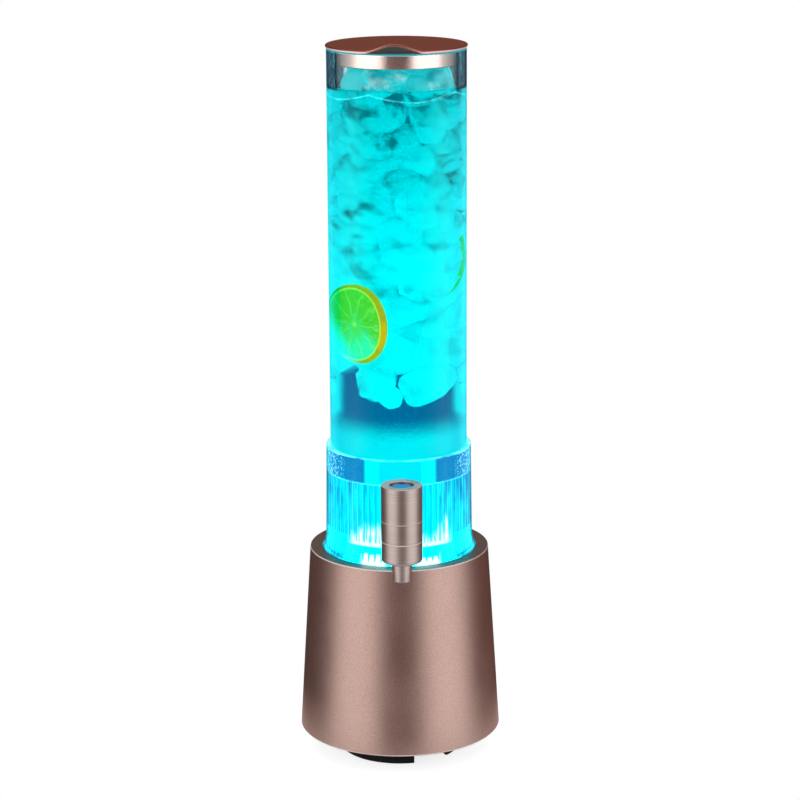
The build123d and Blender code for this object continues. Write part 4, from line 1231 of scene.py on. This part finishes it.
@dataclass
class IcePile:
    """The ice from the foot of the pile up to the plug, as rounded lumps that press on each other."""

    finishes: Finishes
    marks: Landmarks
    limes: tuple[LimeSlice, ...] = ()
    foot_rise: float = 28.0 * MM
    layer_rise: float = 15.0 * MM
    layer_twist: float = 0.45
    wall: float = 39.85 * MM
    lean: float = 0.42
    knee: float = 0.86
    headroom: float = 6.0 * MM
    crease_gap: ClassVar[float] = 4.0 * MM
    ring_radius: float = 26.5 * MM
    lump_radius: Span = (8.5 * MM, 15.5 * MM)
    ringed: int = 8
    crowned: int = 10
    crown_out: Span = (13.0 * MM, 26.0 * MM)
    crown_radius: Span = (9.0 * MM, 13.0 * MM)
    columns: int = 40
    rows: int = 24
    seed: int = 41
    foot: tuple[tuple[float, ...], ...] = (
        (-12.5, -23.5, 19.0, 11.5, 13.0, 15.0),
        (14.5, -23.0, 14.5, 15.5, 14.0, 12.0),
        (-4.5, -25.5, 9.0, 7.0, 9.0, 9.0),
        (25.0, -17.5, 17.5, 8.0, 9.5, 9.0),
        (-16.5, -24.0, 12.5, 6.5, 8.0, 7.5),
        (-27.0, -12.0, 41.0, 12.0, 12.5, 13.5),
        (30.5, -6.0, 34.0, 10.0, 12.0, 14.0),
        (2.0, 22.0, 17.0, 19.0, 15.0, 15.0),
        (-22.0, 16.0, 25.0, 15.0, 15.0, 14.0),
        (25.0, 15.0, 26.0, 14.0, 15.0, 15.0),
        (0.0, -24.0, 38.0, 19.0, 14.0, 14.0),
    )

    def _places(self) -> tuple[np.ndarray, np.ndarray]:
        """Places the lumps: a listed foot, rings of eight round a middle lump, and a crown under the plug.

        Returns:
            Centres and half sizes, one row to a lump.
        """
        draw = np.random.default_rng(self.seed)
        foot = np.array(self.foot) * MM
        foot[:, 2] += self.marks.ice_foot
        bottom = self.marks.ice_foot + self.foot_rise
        layers = int(round((self.marks.plug - 9.0 * MM - bottom) / self.layer_rise))
        layer = np.repeat(np.arange(layers), self.ringed + 1)
        place = np.tile(np.arange(self.ringed + 1), layers)
        count = len(place)
        angle = place * TAU / self.ringed + layer * self.layer_twist + draw.uniform(-0.2, 0.2, count)
        out = np.where(place < self.ringed, self.ring_radius, 3.0 * MM) + draw.uniform(-3.0, 2.0, count) * MM
        height = bottom + (layer + 0.7) * self.layer_rise + draw.uniform(-5.0, 5.0, count) * MM
        centres = round_axis(out, angle, height)
        halves = draw.uniform(*self.lump_radius, (count, 3))
        number = np.arange(self.crowned)
        angle = number * TAU / self.crowned + draw.uniform(-0.15, 0.15, self.crowned)
        out = np.where(number % 3 == 2, *self.crown_out)
        height = self.marks.plug - draw.uniform(7.0, 13.0, self.crowned) * MM
        crown = round_axis(out, angle, height)
        crown_halves = draw.uniform(*self.crown_radius, (self.crowned, 3))
        halves = np.concatenate((foot[:, 3:], halves, crown_halves))
        return np.concatenate((foot[:, :3], centres, crown)), halves

    @staticmethod
    def _turns(count: int, draw: np.random.Generator) -> np.ndarray:
        """Random turns from unit quaternions, a 3 by 3 matrix to a lump; the foot's front lumps turn little."""
        w, x, y, z = draw.normal(size=(4, count))
        w[:5] = (7.0, 7.0, 2.5, 2.5, 2.5)
        size = np.sqrt(w * w + x * x + y * y + z * z)
        w, x, y, z = w / size, x / size, y / size, z / size
        rows = (
            (1 - 2 * (y * y + z * z), 2 * (x * y - z * w), 2 * (x * z + y * w)),
            (2 * (x * y + z * w), 1 - 2 * (x * x + z * z), 2 * (y * z - x * w)),
            (2 * (x * z - y * w), 2 * (y * z + x * w), 1 - 2 * (x * x + y * y)),
        )
        return np.moveaxis(np.array(rows), -1, 0)

    def freeze(self) -> None:
        """Makes the lumps.

        Each is a superellipsoid: its unit direction's parts raised to a power under one, with their signs,
        times its half sizes, with four waves over it. It is turned, moved to its place, and drawn in
        where it would pass the tube's wall. "crease" is near 1 on points close to another lump's
        surface, where the ice is painted darker as shade.
        """
        centres, halves = self._places()
        count = len(centres)
        draw = np.random.default_rng(self.seed + 1)
        turns = self._turns(count, draw)
        power = draw.uniform(0.42, 0.8, (count, 1, 1))
        power[:2] = 0.72
        first, second, third = draw.uniform(0.0, TAU, (3, count, 1, 1))
        steps = (np.arange(self.rows) + 1.0) * math.pi / (self.rows + 1.0)
        polar, around = np.meshgrid(steps, np.linspace(0.0, TAU, self.columns, endpoint=False), indexing="ij")

        def part(value: np.ndarray) -> np.ndarray:
            """Raises the size of a value to each lump's power and keeps its sign."""
            return np.sign(value) * np.abs(value) ** power

        ring = part(np.sin(polar)[None])
        unit = np.stack((ring * part(np.cos(around)[None]), ring * part(np.sin(around)[None]),
                         part(-np.cos(polar)[None])), axis=-1)
        flat_poles = np.sin(polar) ** 2
        waves = (1.0 + 0.05 * np.sin(2 * around + first) * flat_poles + 0.05 * np.sin(3 * polar + second)
                 + 0.04 * np.sin(5 * around + third) * flat_poles
                 + 0.025 * np.sin(9 * around + second) * np.sin(7 * polar + first) * flat_poles)
        body = (unit * waves[..., None]).reshape(count, -1, 3)
        poles = np.array(((0.0, 0.0, -1.0), (0.0, 0.0, 1.0)))[None].repeat(count, axis=0)
        local = np.concatenate((body, poles), axis=1) * halves[:, None]
        points = self._draw_in(np.einsum("nij,npj->npi", turns, local) + centres[:, None])
        for lime in self.limes:
            points = lime.press_back(points)
        crease = self._creases(points, centres, halves, turns)
        step = points.shape[1]
        tone = np.repeat(draw.uniform(0.0, 1.0, count), step)
        _, one = closed_rings(np.zeros((self.rows, self.columns, 3)), np.zeros(3), np.zeros(3))
        offsets = (np.arange(count) * step)[:, None, None]
        faces = []
        for corners in (4, 3):
            alike = np.array([face for face in one if len(face) == corners])
            faces += (alike[None] + offsets).reshape(-1, corners).tolist()
        add_piece("ice", (points.reshape(-1, 3), faces), self.finishes.by_name["ice"], crease=crease, lump=tone)

    def _draw_in(self, points: np.ndarray) -> np.ndarray:
        """Presses points, by a tanh, under the plug and inside the wall, which leans in over the drink."""
        out = points.copy()
        radius = np.linalg.norm(points[..., :2], axis=-1)
        wall = self.wall - self.lean * np.maximum(points[..., 2] - self.marks.drink_level, 0.0)
        knee = self.knee * wall
        spare = wall - knee
        pressed = np.where(radius > knee, knee + spare * np.tanh((radius - knee) / spare), radius)
        out[..., :2] *= (pressed / np.maximum(radius, 1e-9))[..., None]
        ceiling = self.marks.plug - 0.8 * MM - self.headroom
        height = points[..., 2]
        pressed = ceiling + self.headroom * np.tanh((height - ceiling) / self.headroom)
        out[..., 2] = np.where(height > ceiling, pressed, height)
        return out

    @staticmethod
    def _creases(points: np.ndarray, centres: np.ndarray, halves: np.ndarray, turns: np.ndarray) -> np.ndarray:
        """How near each point is to another lump: the largest exp(-(gap / 4 mm)^2) over the others."""
        flat = points.reshape(-1, 3)
        owner = np.repeat(np.arange(len(centres)), points.shape[1])
        nearest = np.zeros(len(flat))
        for lump, (centre, half, turn) in enumerate(zip(centres, halves, turns)):
            gap = (np.linalg.norm((flat - centre) @ turn / half, axis=-1) - 1.0) * half.mean()
            close = np.exp(-((np.maximum(gap, 0.0) / IcePile.crease_gap) ** 2))
            nearest = np.maximum(nearest, np.where(owner == lump, 0.0, close))
        return nearest


# ---------------------------------------------------------------- studio


@dataclass(frozen=True)
class Card:
    """A tall card that is seen in gloss: where it stands, in degrees from -Y towards +X, and its two tones."""

    azimuth: float
    half_angle: float
    distance: float
    low: Colour
    high: Colour
    through_glass: bool = False
    foot: ClassVar[float] = -1.2
    head: ClassVar[float] = 1.9
    steps: ClassVar[int] = 16
    tone_change: ClassVar[Span] = (0.42, 0.62)

    def hang(self, name: str) -> None:
        """Hangs the card so that it faces the axis: (d sin a, -d cos a) from its foot to its head."""
        material = bpy.data.materials.new(name)
        sheet = Sheet.of(material)
        light = sheet.place().split()[2].ramp(*self.tone_change).blend(self.low, self.high)
        looks = {"Base Color": (0.012, 0.012, 0.014), "Roughness": 0.9, "Specular IOR Level": 0.0,
                 "Emission Color": light, "Emission Strength": 1.0}
        sheet.put("OutputMaterial", {"Surface": sheet.wire("BsdfPrincipled", 0, looks)})
        angle = np.radians(self.azimuth + np.linspace(-self.half_angle, self.half_angle, self.steps + 1))
        edge = (self.distance * np.sin(angle), -self.distance * np.cos(angle))
        points = np.concatenate([np.column_stack((*edge, np.full(len(angle), level)))
                                 for level in (self.foot, self.head)])
        first = np.arange(self.steps)
        faces = np.stack((first, first + 1, first + self.steps + 2, first + self.steps + 1), axis=-1).tolist()
        card = add_mesh(name, points, faces, material)
        card.visible_camera = card.visible_diffuse = card.visible_shadow = False
        card.visible_transmission = self.through_glass
        card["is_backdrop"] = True


@dataclass
class Studio:
    """Camera, lamps, cards, pale floor and white surroundings."""

    distance: float = 1.6918
    eye_height: float = 0.6718
    pitch: float = math.radians(14.27)
    azimuth: float = math.radians(-1.17)
    lens: float = 118.46
    film_width: float = 36.0
    roll: float = math.radians(-0.32)
    aim_right: float = 1.06 * MM
    lamp_azimuths: tuple[float, ...] = (54.0, -53.0)
    lamp_size: Span = (1.25, 1.7)
    lamp_distance: float = 1.25
    lamp_level: float = 0.12
    lamp_watts: float = 9.0
    floor_radius: float = 0.17
    floor_plain: float = 0.095
    floor_light: float = 0.75
    ambient: float = 0.45
    cards: tuple[Card, ...] = (
        Card(0.0, 24.0, 2.1, (0.135, 0.035, 0.022), (0.135, 0.035, 0.022), True),
        Card(120.0, 28.0, 1.3, (0.26, 0.13, 0.11), (0.26, 0.13, 0.11)),
        Card(-119.0, 29.0, 1.3, (0.13, 0.055, 0.045), (0.13, 0.055, 0.045)),
        Card(180.0, 32.0, 1.3, (0.03, 0.03, 0.03), (0.36, 0.36, 0.36)),
    )

    def set_camera(self) -> None:
        """Stands the camera where the photograph was taken from, rolled a touch as it was."""
        across, back = math.sin(self.azimuth) * self.distance, -math.cos(self.azimuth) * self.distance
        eye = Vector((across, back, self.eye_height))
        aim = Vector((self.aim_right, 0.0, self.eye_height - self.distance * math.tan(self.pitch)))
        data = bpy.data.cameras.new("camera")
        data.lens, data.sensor_width, data.clip_start, data.clip_end = self.lens, self.film_width, 0.05, 50.0
        camera = add_object("camera", data)
        turn = (aim - eye).to_track_quat("-Z", "Y").to_matrix() @ Matrix.Rotation(self.roll, 3, "Z")
        camera.matrix_world = Matrix.Translation(eye) @ turn.to_4x4()
        bpy.context.scene.camera = camera

    def light_lamps(self) -> None:
        """Stands the two tall soft lamps, which look at the axis."""
        for number, azimuth in enumerate(self.lamp_azimuths):
            angle = math.radians(azimuth)
            data = bpy.data.lights.new(f"tall_lamp_{number}", "AREA")
            data.shape = "RECTANGLE"
            data.size, data.size_y = self.lamp_size
            data.energy = self.lamp_watts
            lamp = add_object(data.name, data)
            outward = Vector((math.sin(angle), -math.cos(angle), 0.0))
            place = outward * self.lamp_distance + Vector((0.0, 0.0, self.lamp_level))
            turn = (-outward).to_track_quat("-Z", "Y").to_matrix()
            lamp.matrix_world = Matrix.Translation(place) @ turn.to_4x4()
            lamp.visible_camera = False

    def lay_floor(self) -> None:
        """Lays the pale floor: a disc that fades into the white surroundings, and is clear from beneath."""
        material = bpy.data.materials.new("pale_floor")
        sheet = Sheet.of(material)
        x, y, _ = sheet.place().split()
        pale = (sheet.join(x, y, 0.0).noise(220.0, 2.0) * 0.3).blend((0.86, 0.86, 0.86), (0.84, 0.84, 0.84))
        surface = sheet.wire("BsdfPrincipled", 0, {
            "Base Color": pale, "Roughness": 0.7, "Specular IOR Level": 0.1, "Emission Color": WHITE,
            "Emission Strength": sheet.seen() * self.floor_light})
        fade = reach(x, y).ramp(self.floor_plain, self.floor_radius * 0.98)
        fade = fade | sheet.wire("NewGeometry", "Backfacing")
        mix = sheet.wire("MixShader", 0, {0: fade, 1: surface, 2: sheet.wire("BsdfTransparent")})
        sheet.put("OutputMaterial", {"Surface": mix})
        rows, columns = 24, 96
        rings = turned(self.floor_radius * np.linspace(0.02, 1.0, rows), np.zeros(rows), columns)
        points = np.concatenate((rings.reshape(-1, 3), np.zeros((1, 3))))
        faces = grid_faces(rows, columns) + fan_faces(0, columns, rows * columns, False)
        floor = add_mesh("floor", points, [face[::-1] for face in faces], material)
        floor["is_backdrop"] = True

    def surround(self) -> None:
        """Makes the surroundings: white to the camera, in gloss and through glass, a plain level otherwise."""
        world = bpy.data.worlds.new("surroundings")
        bpy.context.scene.world = world
        sheet = Sheet.of(world)
        strength = sheet.seen().ramp(0.0, 1.0, (self.ambient, 1.0))
        light = sheet.wire("Background", 0, {"Color": WHITE, "Strength": strength})
        sheet.put("OutputWorld", {"Surface": light})

    def set_up(self) -> None:
        """Sets up the whole studio."""
        self.set_camera()
        for number, card in enumerate(self.cards):
            card.hang(f"card_{number}")
        self.light_lamps()
        self.lay_floor()
        self.surround()
        scene = bpy.context.scene
        scene.view_settings.view_transform = "Standard"
        scene.cycles.max_bounces = 24
        scene.cycles.transmission_bounces = 20
        scene.cycles.transparent_max_bounces = 16
        scene.cycles.glossy_bounces = 8
        log.info("studio: camera, %d lamps, %d cards", len(self.lamp_azimuths), len(self.cards))


def main() -> None:
    """Builds the tower's looks in order: studio, base, tap, tube and lid, drink, limes and ice."""
    logging.basicConfig(level=logging.INFO, format="%(name)s: %(message)s")
    marks = Landmarks.read()
    Studio().set_up()
    finishes = Finishes(marks)
    tap = PressTap(finishes)
    for assembly in (BaseHousing(finishes), tap, TubeAndLid(finishes)):
        assembly.dress()
    tap.wind()
    drink = Drink(finishes, marks)
    drink.pour()
    drink.light()
    front = (-23.1 * MM, -15.6 * MM, marks.ice_foot + 54.0 * MM)
    behind = (3.6 * MM, 1.5 * MM, marks.ice_foot + 95.0 * MM)
    limes = (
        LimeSlice(finishes, "lime_front", front, math.radians(-56.0)),
        LimeSlice(finishes, "lime_back", behind, math.radians(-5.0), radius=33.5 * MM, bare=(-112.0, 24.0),
                  bare_from=0.945, finish="shaded_lime"),
    )
    for lime in limes:
        lime.cut()
    IcePile(finishes, marks, limes).freeze()
    visual_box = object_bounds()


if __name__ == "__main__":
    main()
